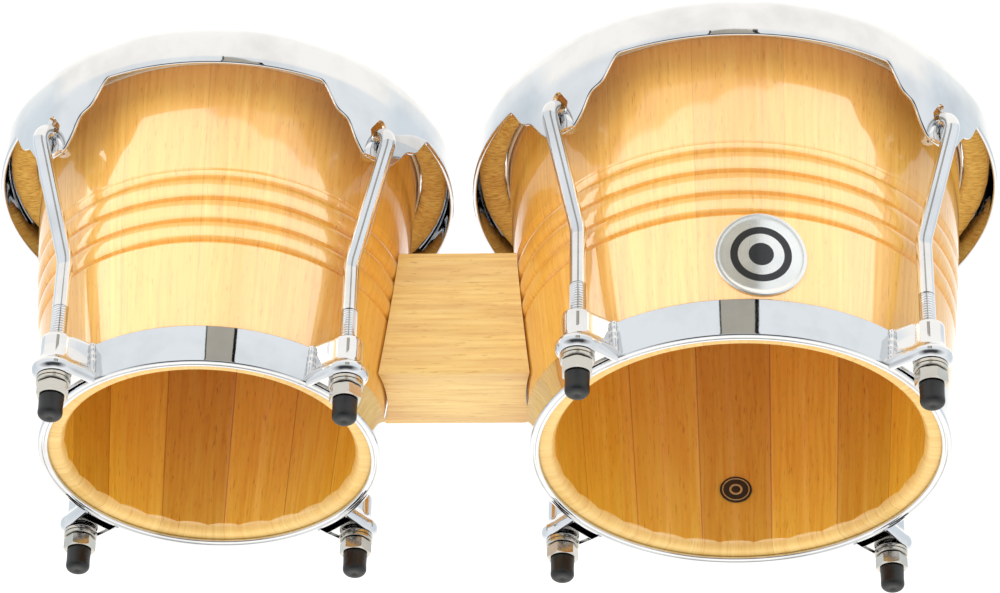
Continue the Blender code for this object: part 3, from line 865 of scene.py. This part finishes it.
def make_rods(drum):
    name = drum["name"]
    pattern = joined("rod_pattern", rod_bar(drum), rod_thread())
    smooth(pattern, 38)
    for lug in LUGS:
        rod = copied(pattern, f"{name}_hooked_rod_{lug}", lug_place(drum, lug))
        paint(rod, ROD_CHROME)
        fit(rod, f"{name}_tension", "chrome", f"{name}_tuning_rod_{lug}")
    discard(pattern)


# ---- nuts, washers and caps
NUT_FLATS = 0.0124
NUT_BOTTOM, NUT_TOP = 0.0103, 0.0161
WASHER = 0.0075
WASHER_BOTTOM, WASHER_TOP = 0.0164, 0.0199
CAP = 0.0054
CAP_TOP = 0.0100


def nut_pattern():
    """A hexagon nut with both ends turned to a chamfer, and a countersunk thread hole."""
    clear()
    corner = NUT_FLATS / sqrt(3)
    middle_z, depth = (NUT_BOTTOM + NUT_TOP) / 2, NUT_TOP - NUT_BOTTOM
    shape.primitive_cylinder_add(vertices=6, radius=corner, depth=depth, location=(0, 0, middle_z))
    nut = settle(named("nut_pattern"))
    drop = (corner - NUT_FLATS / 2 * 0.97) * tan(radians(30))
    turned = [(0, NUT_TOP), (NUT_FLATS / 2 * 0.97, NUT_TOP), (corner + 0.0001, NUT_TOP - drop)]
    turned += [(corner + 0.0001, NUT_BOTTOM + drop), (NUT_FLATS / 2 * 0.97, NUT_BOTTOM), (0, NUT_BOTTOM)]
    cut(nut, spun("nut_turning", turned, 96), "INTERSECT")
    wide, narrow = ROD_HOLE + 0.0006, ROD_HOLE
    bore = [(0, NUT_TOP + 0.001), (wide, NUT_TOP + 0.001), (wide, NUT_TOP), (narrow, NUT_TOP - 0.0006)]
    bore += [(narrow, NUT_BOTTOM + 0.0006), (wide, NUT_BOTTOM), (wide, NUT_BOTTOM - 0.001),
        (0, NUT_BOTTOM - 0.001)]
    cut(nut, spun("nut_bore", bore, 48))
    merge(nut)
    return smooth(nut, 22)


def washer_pattern():
    inner = ROD_HOLE + 0.0001
    ease = 0.0003
    seam, lower = 0.0180, WASHER - 0.0002
    section = [(inner, WASHER_TOP - ease), (inner + ease, WASHER_TOP), (WASHER - 0.0006, WASHER_TOP)]
    section += arc((WASHER - 0.0006, WASHER_TOP - 0.0006), 0.0006, pi / 2, 0, 5)[1:]
    section += [(WASHER, seam + 0.0002), (WASHER - 0.0006, seam + 0.0001), (WASHER - 0.0006, seam - 0.0001)]
    section += [(lower, seam - 0.0002), (lower, WASHER_BOTTOM + ease), (lower - ease, WASHER_BOTTOM)]
    section += [(inner + ease, WASHER_BOTTOM), (inner, WASHER_BOTTOM + ease)]
    return smooth(spun("washer_pattern", section, 64, closed=True), 40)


def cap_pattern():
    """A rubber sleeve with a rolled mouth, a domed tip and a moulding dimple in it."""
    bore, floor = ROD + GAP, ROD_END - GAP
    section = [(0, floor), (bore, floor), (bore, CAP_TOP - 0.0003), (bore + 0.0003, CAP_TOP)]
    section += arc((CAP - 0.0004, CAP_TOP - 0.0004), 0.0004, pi / 2, 0, 4)
    section += [(CAP - 0.0001, CAP_TOP - 0.0012), (CAP - 0.0002, 0.0050), (CAP - 0.0001, 0.0032)]
    section += arc((CAP - 0.0025, 0.0024), 0.0024, 0, -radians(80), 8)
    section += [(0.0017, 0.0), (0.0012, 0.0002), (0.0006, 0.0004), (0, 0.00045)]
    return smooth(spun("cap_pattern", section, 48), 50)


def make_fittings(drum):
    name = drum["name"]
    nut, washer, cap = nut_pattern(), washer_pattern(), cap_pattern()
    for lug in LUGS:
        place = lug_place(drum, lug)
        spin = Matrix.Rotation(radians(9 + 17 * lug) - lug_angle(drum, lug), 4, "Z")
        one = paint(copied(nut, f"{name}_hex_nut_{lug}", place @ spin), NICKEL)
        fit(one, f"{name}_nut_{lug}", "nickel", f"{name}_nut_{lug}")
        one = paint(copied(washer, f"{name}_flat_washer_{lug}", place), NICKEL)
        fit(one, "root", "nickel", f"{name}_washer_{lug}")
        one = paint(copied(cap, f"{name}_rubber_tip_{lug}", place), RUBBER)
        fit(one, f"{name}_tension", "rubber", f"{name}_rod_cap_{lug}")
    discard(nut, washer, cap)


# ---- rims
RIM_ROUND = 0.0120
RIM_SHEET = 0.0020
SKIRT_BEND = 0.1700  # height where the skirt starts to follow its scalloped edge
EAR_SIDE = ((0.0, 0.1303), (0.0070, 0.1303), (0.0125, 0.1360), (0.0175, 0.1440), (0.0240, 0.1470),
    (0.0315, 0.1590), (1.0, 0.1590))
EAR_LEAN = ((0.1303, 0.0034), (0.1450, 0.0011), (0.1590, 0.0003), (0.1660, 0.0), (1.0, 0.0))
EAR_EASE = 0.0016  # half length over which the edge's corners are rounded


def along(table, value):
    """Straight-line reading of a table of (place, value) pairs."""
    for (x0, y0), (x1, y1) in zip(table, table[1:]):
        if value <= x1:
            return y0 + (y1 - y0) * max(0.0, (value - x0) / (x1 - x0))
    return table[-1][1]


def edge_height(sideways):
    """The skirt's lower edge at this distance from the middle of an ear."""
    offsets = between(-EAR_EASE, EAR_EASE, 9)
    return sum(along(EAR_SIDE, abs(sideways + o)) for o in offsets) / len(offsets)


def skirt_lean(height):
    offsets = between(-0.004, 0.004, 5)
    return sum(along(EAR_LEAN, max(height + o, EAR_LEAN[0][0])) for o in offsets) / len(offsets)


def rim_section(drum):
    """Closed section at an ear's deepest point: inner edge, crown, skirt, rolled edge and back inside."""
    outer, inner, crest = drum["rim"], drum["rim_inner"], drum["crest"]
    flat = outer - RIM_ROUND
    small = flat - inner
    half = RIM_SHEET / 2
    points = arc((flat, crest - small), small, pi, pi / 2, 8)
    points += arc((flat, crest - RIM_ROUND), RIM_ROUND, pi / 2, 0, 18)[1:]
    low = drum["ears"] + half
    skirt = [(outer - skirt_lean(z), z) for z in between(SKIRT_BEND, low, 20)]
    points += skirt
    end = skirt[-1]
    points += [(r, z) for r, z in arc((end[0] - half, low), half * 1.02, 0, -pi, 9)[1:-1]]
    points += [(r - RIM_SHEET, z) for r, z in skirt[::-1]]
    points += arc((flat, crest - RIM_ROUND), RIM_ROUND - RIM_SHEET, 0, pi / 2, 14)
    lower = crest - small
    points += arc((flat, lower), small - RIM_SHEET, pi / 2, pi, 5)[1:]
    inner_low = lower - 0.0037
    points += arc((inner + half, inner_low), half, 0, -pi, 7)
    return points


def scallop(drum, made):
    """Lifts the skirt's lower edge between the ears."""
    low = drum["ears"] + RIM_SHEET / 2
    pitch = tau / len(LUGS)

    def where(co):
        if co.z > SKIRT_BEND - 0.00001:
            return co
        x, y = co.x - drum["x"], co.y
        reach, angle = hypot(x, y), atan2(y, x)
        if reach < drum["rim_inner"] + 0.006:
            return co
        step = (angle - lug_angle(drum, 1) + pitch / 2) % pitch - pitch / 2
        edge = edge_height(step * drum["rim"]) + RIM_SHEET / 2
        if co.z >= low - 0.000001:
            z = SKIRT_BEND - (SKIRT_BEND - co.z) * (SKIRT_BEND - edge) / (SKIRT_BEND - low)
        else:
            z = co.z + edge - low
        reach += skirt_lean(max(co.z, low)) - skirt_lean(max(z, edge))
        return Vector((drum["x"] + reach * cos(angle), reach * sin(angle), z))

    move_points(made, where)


def ear_hole(drum, lug):
    """Teardrop hole of an ear, as a bar to cut with, in the pair's frame."""
    outline = arc((-0.0026, 0.1404), 0.0020, pi, pi * 1.5, 5)
    outline += arc((0.0026, 0.1404), 0.0020, pi * 1.5, tau, 5)
    outline += arc((0.0030, 0.1437), 0.0026, 0, radians(40), 4)
    outline += arc((0.0, 0.1492), 0.0022, radians(30), radians(150), 7)
    outline += arc((-0.0030, 0.1437), 0.0026, radians(140), pi, 4)
    bar = lofted("ear_hole", [(outline, -0.004), (outline, 0.006)])
    stand = Matrix(((0, 0, 1), (1, 0, 0), (0, 1, 0))).to_4x4()
    turn = Matrix.Rotation(lug_angle(drum, lug), 4, "Z")
    bar.data.transform(Matrix.Translation((drum["x"], 0, 0)) @ turn
        @ Matrix.Translation((drum["rim"] - 0.002, 0, 0)) @ stand)
    return merge(bar)


def seat_pattern(drum):
    """The pressed half dome under an ear's hole that the hook bears on."""
    clear()
    low = drum["ears"] + 0.0004
    place = (drum["rim"] - skirt_lean(0.1320) - drum["rods"] - 0.0002, 0, 0.1316)
    shape.primitive_uv_sphere_add(segments=48, ring_count=24, radius=1, location=place,
        scale=(0.0015, 0.0074, 0.0082))
    seat = named("seat_pattern")
    seat.rotation_euler.y = radians(9)
    settle(seat)
    pick(seat)
    edit()
    shape.select_all(action="SELECT")
    shape.bisect(plane_co=(0, 0, low), plane_no=(0, 0, 1), clear_inner=True, use_fill=True)
    leave()
    return smooth(merge(seat), 50)


def make_rim(drum):
    name = drum["name"]
    rim = spun(f"{name}_chromed_rim", rim_section(drum), RIM_TURNS, drum["x"], closed=True)
    scallop(drum, rim)
    merge(rim)
    for lug in LUGS:
        cut(rim, ear_hole(drum, lug), solver="MANIFOLD")
    smooth(rim, 42)
    paint(rim, CHROME)
    fit(rim, f"{name}_tension", "chrome", f"{name}_rim")
    pattern = seat_pattern(drum)
    for lug in LUGS:
        seat = copied(pattern, f"{name}_hook_seat_{lug}", lug_place(drum, lug))
        fit(paint(seat, CHROME), f"{name}_tension", "chrome")
    discard(pattern)


# ---- heads
SKIN = 0.0009
SKIN_EDGE = 0.1710
TUCK_WIDTH = 0.0122
TUCK_BOTTOM, TUCK_TOP = 0.1706, 0.1765


def make_head(drum):
    """The hide over the bearing edge, very slightly uneven as a dried skin is."""
    name = drum["name"]
    inside = drum["top"] + GAP
    outside, under = inside + SKIN, drum["high"] + GAP
    over = under + SKIN
    section = [(0, over)] + [(r, over) for r in between(0.004, outside - 0.0052, 22)]
    section += arc((outside - 0.0045, over - 0.0045), 0.0045, pi / 2, 0, 9)
    section += [(outside, z) for z in between(over - 0.0060, SKIN_EDGE + 0.0003, 5)]
    section += [(outside - 0.0003, SKIN_EDGE), (inside + 0.0002, SKIN_EDGE), (inside, SKIN_EDGE + 0.0003)]
    section += [(inside, under - 0.0036)] + arc((inside - 0.0036, under - 0.0036), 0.0036, 0, pi / 2, 7)[1:]
    section.append((0, under))
    head = spun(f"{name}_hide_head", section, x=drum["x"])

    def uneven(co):
        sink = 0.00022 * (0.5 + noise.noise(Vector((co.x, co.y, 0)) * 45)) if co.z > over - 0.0003 else 0.0
        return Vector((co.x, co.y, co.z - max(sink, 0.0)))

    move_points(head, uneven)
    smooth(head, 60)
    paint(head, HEAD_HIDE)
    return fit(head, "root", "hide", f"{name}_head_skin")


def make_lap(drum):
    """The hide rolled round its hoop: a soft ring with small puckers."""
    name = drum["name"]
    near = drum["top"] + GAP + SKIN + GAP
    far = near + TUCK_WIDTH
    centre = ((near + far) / 2, (TUCK_BOTTOM + TUCK_TOP) / 2 - 0.0006)
    wide, tall = TUCK_WIDTH / 2, (TUCK_TOP - TUCK_BOTTOM) / 2
    section = []
    for i in range(28):
        a = pi / 2 - i * tau / 28
        c, s = cos(a), sin(a)
        r = centre[0] + wide * copysign(abs(c) ** 0.72, c) * 0.97
        section.append((r, TUCK_BOTTOM + tall + tall * copysign(abs(s) ** 0.80, s) * 0.97))
    lap = spun(f"{name}_hide_lap", section, 540, drum["x"], closed=True)

    def pucker(co):
        x, y = co.x - drum["x"], co.y
        reach, angle = hypot(x, y), atan2(y, x)
        ring = Vector((cos(angle) * 26, sin(angle) * 26, reach * 120))
        fold = noise.noise(ring) * 0.00035
        nap = noise.noise(Vector((x, y, co.z)) * 900) * 0.00012
        side = Vector((reach - centre[0], co.z - TUCK_BOTTOM - tall)).normalized() * min(fold
            + nap - 0.00008, 0.00018)
        reach = max(reach + side.x, near + 0.00002)
        return Vector((drum["x"] + reach * cos(angle), reach * sin(angle), co.z + side.y))

    move_points(lap, pucker)
    smooth(lap, 180)
    paint(lap, SUEDE[name])
    return fit(lap, f"{name}_tension", "hide", f"{name}_hide_collar", f"{name}_flesh_hoop")


# ---- joining block and bolts
def make_block():
    low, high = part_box("joining_block")
    block = box("wood_block", (SMALL["x"], low.y, low.z), (LARGE["x"], high.y, high.z))
    soften(block, 0.0006, 3)
    for drum in DRUMS:
        heights = between(high.z + 0.02, low.z - 0.02, 20)
        body = [(0, heights[0])] + [(shell_radius(drum, z) + BEAD_CROWN + GAP, z)
            for z in heights] + [(0, heights[-1])]
        cut(block, spun("saddle", body, x=drum["x"]))
    merge(block)
    smooth(block, 25)
    paint(block, BLOCK_WOOD)
    return fit(block, "root", "block_wood", "joining_block")


def bolt_pattern():
    """A pan-head bolt along +X, cross recess in its head, underside of the head at the origin."""
    head, tall, shank, reach = 0.0056, 0.0040, 0.0030, 0.0270
    section = [(0, tall)] + arc((head - 0.0016, tall - 0.0016), 0.0016, pi / 2, 0, 6)
    section += [(head, 0.0003), (head - 0.0003, 0), (shank, 0), (shank, -reach + 0.001),
        (shank - 0.001, -reach), (0, -reach)]
    bolt = spun("bolt_pattern", section, 48)
    for size in ((0.0026, 0.0006), (0.0006, 0.0026)):
        cut(bolt, box("cross", (-size[0], -size[1], tall - 0.0018), (size[0], size[1], tall + 0.001)))
    smooth(merge(bolt), 30)
    bolt.data.transform(Matrix.Rotation(-pi / 2, 4, "Y"))
    return bolt


def make_bolts():
    pattern = bolt_pattern()
    for drum in DRUMS:
        for index in (1, 2):
            node_name = f"{drum['name']}_block_bolt_{index}"
            low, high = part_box(node_name)
            facing = 1 if drum is SMALL else -1
            tip = high.x if facing > 0 else low.x
            turn = Matrix.Rotation(0 if facing > 0 else pi, 4, "Z")
            place = Matrix.Translation((tip - facing * 0.0270, 0, (low.z + high.z) / 2)) @ turn
            bolt = copied(pattern, f"{drum['name']}_pan_bolt_{index}", place)
            fit(paint(bolt, STEEL), "root", "steel", node_name)
    discard(pattern)


# ---- badge and label
BADGE_SHEET = 0.0009


def wrapped(made, lift):
    """Bends a flat piece (x, height, thickness in Z) round the large shell at the badge."""
    centre = middle("badge")
    angle = atan2(centre.y, centre.x - LARGE["x"])
    low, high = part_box("badge")
    height = (low.z + high.z) / 2

    def where(co):
        z = height + co.y
        base = shell_radius(LARGE, z) + lift
        sideways = angle + asin(co.x / base)
        out = base + co.z
        return Vector((LARGE["x"] + out * cos(sideways), out * sin(sideways), z))

    move_points(made, where)
    return merge(made)


def disc(name, section, turns=128):
    made = spun(name, section, turns)
    return made


def make_badge():
    """A domed plate with a rolled rim and a plain ring-and-dot figure in black enamel."""
    low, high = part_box("badge")
    radius = (high.z - low.z) / 2
    face = BADGE_SHEET * 0.62
    section = [(0, face)] + [(r, face) for r in between(0.0015, radius - 0.0022, 12)]
    section += [(radius - 0.0017, face + 0.0002), (radius - 0.0012, BADGE_SHEET - 0.0001)]
    section += arc((radius - 0.0006, BADGE_SHEET - 0.0006), 0.0006, pi * 0.6, 0, 6)
    section += [(radius, 0.0001), (radius - 0.0001, 0)] + [(r, 0)
        for r in between(radius - 0.002, 0.0015, 8)] + [(0, 0)]
    plate = wrapped(disc("round_badge", section), GAP)
    smooth(plate, 35)
    fit(paint(plate, BADGE_METAL), "root", "badge_chrome", "badge")
    print_low, print_high = face - 0.0001, face + 0.00012
    outer, inner = radius * 0.66, radius * 0.50
    band = [(inner, print_low), (inner, print_high)]
    band += [(r, print_high) for r in between(inner + 0.0006, outer, 4)] + [(outer, print_low)]
    ring = wrapped(spun("badge_ring", band[::-1], 128, closed=True), GAP)
    fit(paint(smooth(ring, 35), BLACK_ENAMEL), "root", "badge_chrome")
    size = radius * 0.27
    dot = [(0, print_high)] + [(r, print_high)
        for r in between(size / 4, size, 4)] + [(size, print_low), (0, print_low)]
    spot = wrapped(spun("badge_dot", dot, 96), GAP)
    fit(paint(smooth(spot, 35), BLACK_ENAMEL), "root", "badge_chrome")


def make_label():
    """A round paper label on the back stave inside the large shell."""
    low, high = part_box("inner_label")
    radius = (high.x - low.x) / 2
    centre = (low + high) / 2
    lean = atan((LARGE["top"] - LARGE["bottom"]) / (LARGE["high"] - LARGE["low"]))
    stand = Matrix.Rotation(pi / 2 - lean, 4, "X")
    place = Matrix.Translation(centre) @ stand
    paper = spun("round_label", [(0, 0.00020), (radius - 0.0001, 0.00020), (radius, 0.0001),
        (radius, -0.0002), (0, -0.0002)], 72)
    paper.data.transform(place)
    fit(paint(smooth(paper, 30), LABEL_PAPER), "root", "label", "inner_label")
    line = []
    for outer, inner in ((radius * 0.86, radius * 0.79), (radius * 0.42, radius * 0.28)):
        section = [(inner, 0.00026), (outer, 0.00026), (outer, 0.00016), (inner, 0.00016)]
        line.append(spun("label_ring", section, 72, closed=True))
    rings = joined("label_rings", *line)
    rings.data.transform(place)
    fit(paint(rings, LABEL_LINE), "root", "label")


# ---- stage, light and camera
TENT_STRENGTH = 1.25
GAP_CARD = Vector((0.093, -1.28, 0.45))  # tan gap between the front panels
GAP_CARD_WIDE = 0.40
CAMERA_PLACE = Vector((0.0702, -1.3903, -0.8760))
CAMERA_TURN = [radians(angle) for angle in (-2.808, 35.201, 1.223)]  # yaw, pitch, roll
CAMERA_LENS = 136.85


def make_stage():
    """A pale floor that shows only from above and takes no part in the light on the drums."""
    clear()
    shape.primitive_plane_add(size=14, location=(0, 0, cad_box[0].z))
    floor = named("studio_floor")
    for seen in ("visible_shadow", "visible_diffuse", "visible_glossy", "visible_transmission"):
        setattr(floor, seen, False)
    made, tree, shader = finish("pale_floor", Base_Color=(0.86, 0.86, 0.86, 1), Roughness=0.9)
    back = node(tree, "NewGeometry").outputs["Backfacing"]
    clear_side = node(tree, "BsdfTransparent").outputs[0]
    both = node(tree, "MixShader", [(0, back), (1, shader.outputs[0]), (2, clear_side)]).outputs[0]
    tree.links.new(both, tree.nodes["Material Output"].inputs["Surface"])
    paint(floor, made)


def make_world():
    """A white tent: warm overhead, cool panels in front with a gap between them, dark low down in front."""
    world = bpy.data.worlds.new("white_studio")
    bpy.context.scene.world = world
    world.use_nodes = True
    tree = world.node_tree
    parts = node(tree, "SeparateXYZ", [("Vector", node(tree, "TexCoord").outputs["Generated"])]).outputs
    rise = times(tree, maths(tree, "ARCSINE", parts["Z"]), 180 / pi)
    turn = times(tree, maths(tree, "ARCTAN2", parts["X"], times(tree, parts["Y"], -1)), 180 / pi)
    wide = maths(tree, "ABSOLUTE", turn)
    behind = node(tree, "MapRange", [("Value", rise), ("From Min", -90), ("From Max", 90)]).outputs[0]
    back = ramp(tree, behind, (0.0, (1.15, 1.13, 1.08)), (0.42, (1.12, 1.11, 1.08)),
        (0.60, (1.0, 1.0, 1.0)), (0.72, (1.02, 1.01, 0.975)))
    side = ramp(tree, behind, (0.0, (1.0, 1.0, 1.0)), (0.45, (0.66, 0.72, 0.77)),
        (0.69, (0.66, 0.73, 0.78)), (0.73, (1.02, 1.01, 0.975)))
    panel = ramp(tree, behind, (0.0, (1.0, 1.0, 1.0)), (0.40, (0.80, 0.84, 0.87)),
        (0.690, (0.77, 0.81, 0.84)))
    upper = ramp(tree, behind, (0.690, (0.965, 0.945, 0.905)), (1.0, (1.0, 0.985, 0.95)))
    over = ramp_value(tree, rise, 33.6, 34.5)
    front = mix(tree, "MIX", over, panel, upper)
    low_dark = times(tree, ramp_value(tree, rise, -2, -24), ramp_value(tree, rise, -76, -48))
    camera_side = times(tree, low_dark, ramp_value(tree, wide, 80, 32))
    mirrored = times(tree, camera_side, node(tree, "LightPath").outputs["Is Glossy Ray"])
    front = mix(tree, "MIX", mirrored, front, (0.05, 0.05, 0.055, 1))
    sides = mix(tree, "MIX", ramp_value(tree, wide, 84, 96), front, side)
    sky = mix(tree, "MIX", ramp_value(tree, wide, 128, 150), sides, back)
    seen = node(tree, "LightPath").outputs["Is Camera Ray"]
    colour = mix(tree, "MIX", seen, sky, (1, 1, 1, 1))
    background = tree.nodes["Background"]
    tree.links.new(colour, background.inputs["Color"])
    background.inputs["Strength"].default_value = TENT_STRENGTH


def card(name, place, target, width, height, colour):
    """An upright card of even brightness that only shows in reflections."""
    clear()
    shape.primitive_plane_add(size=1)
    made = named(name)
    made.scale = (width, height, 1)
    made.location = place
    made.rotation_euler = (Vector(target) - Vector(place)).to_track_quat("Z", "Y").to_euler()
    settle(made)
    for seen in ("visible_camera", "visible_shadow", "visible_diffuse", "visible_transmission"):
        setattr(made, seen, False)
    even, tree, _ = finish(name)
    glow = node(tree, "Emission", [("Color", (*colour, 1)), ("Strength", 1.0)]).outputs[0]
    tree.links.new(glow, tree.nodes["Material Output"].inputs["Surface"])
    paint(made, even)


def softbox(name, place, target, width, height, power, colour=(1, 1, 1)):
    light = bpy.data.lights.new(name, "AREA")
    light.shape = "RECTANGLE"
    light.size, light.size_y = width, height
    light.energy = power
    light.color = colour
    made = bpy.data.objects.new(name, light)
    made.location = place
    made.rotation_euler = (Vector(target) - Vector(place)).to_track_quat("-Z", "Y").to_euler()
    bpy.context.scene.collection.objects.link(made)
    made.visible_camera = False
    return made


GLOW_REACH = 1.15
GLOW_LOW, GLOW_HIGH = -0.19, 0.785
GLOW_BANKS = 6
GLOW_RADIANCE = 3.9


def lacquer_glow(woods):
    """A curved bank of upright softboxes that only the lacquered wood mirrors."""
    lit = bpy.data.collections.new("lacquered_wood_pieces")
    for piece in woods:
        lit.objects.link(piece)
    start, end = radians(-84), radians(72)
    step = (end - start) / GLOW_BANKS
    width, height = 2 * GLOW_REACH * tan(step / 2), GLOW_HIGH - GLOW_LOW
    level = (GLOW_HIGH + GLOW_LOW) / 2
    for bank in range(GLOW_BANKS):
        turn = start + (bank + 0.5) * step
        place = (GLOW_REACH * sin(turn), -GLOW_REACH * cos(turn), level)
        power = GLOW_RADIANCE * pi * width * height
        made = softbox(f"lacquer_glow_{bank + 1}", place, (0, 0, level), width, height, power,
            (1.0, 0.97, 0.92))
        made.visible_diffuse = False
        made.data.use_shadow = False
        made.light_linking.receiver_collection = lit


def make_light(woods):
    """Two pale-grey edges and a tan gap between the front panels, and the softbox on the lacquer."""
    target = (0, 0, 0.10)
    gap, wide = GAP_CARD, GAP_CARD_WIDE
    card("panel_gap", gap, (gap.x, 0, gap.z), wide, 1.0, (0.50, 0.475, 0.41))
    card("gap_edge_left", gap + Vector((-wide / 2, 0.01, 0)), (gap.x, 0, gap.z), 0.018, 1.0,
        (0.03, 0.03, 0.03))
    card("gap_edge_right", gap + Vector((wide / 2, 0.01, 0)), (gap.x, 0, gap.z), 0.045, 1.0,
        (0.01, 0.01, 0.01))
    key = softbox("key_softbox", (-0.9, -1.9, 0.9), target, 1.6, 1.2, 8)
    key.visible_glossy = False
    lacquer_glow(woods)


def make_camera():
    yaw, pitch, roll = CAMERA_TURN
    data = bpy.data.cameras.new("camera")
    data.sensor_width = 36
    data.lens = CAMERA_LENS
    data.clip_start, data.clip_end = 0.05, 50
    made = bpy.data.objects.new("camera", data)
    bpy.context.scene.collection.objects.link(made)
    aim = Matrix.Rotation(-yaw, 4, "Z") @ Matrix.Rotation(pi / 2 + pitch, 4,
        "X") @ Matrix.Rotation(roll, 4, "Z")
    made.matrix_world = Matrix.Translation(CAMERA_PLACE) @ aim
    bpy.context.scene.camera = made


# ---- assembly
def build():
    woods = []
    for drum in DRUMS:
        woods.append(make_shell(drum))
        make_ring(drum)
        make_brackets(drum)
        make_rods(drum)
        make_fittings(drum)
        make_rim(drum)
        make_head(drum)
        make_lap(drum)
    make_block()
    make_bolts()
    make_badge()
    make_label()
    make_stage()
    make_world()
    make_light(woods)
    make_camera()
    bpy.context.scene.view_settings.view_transform = "Standard"


build()
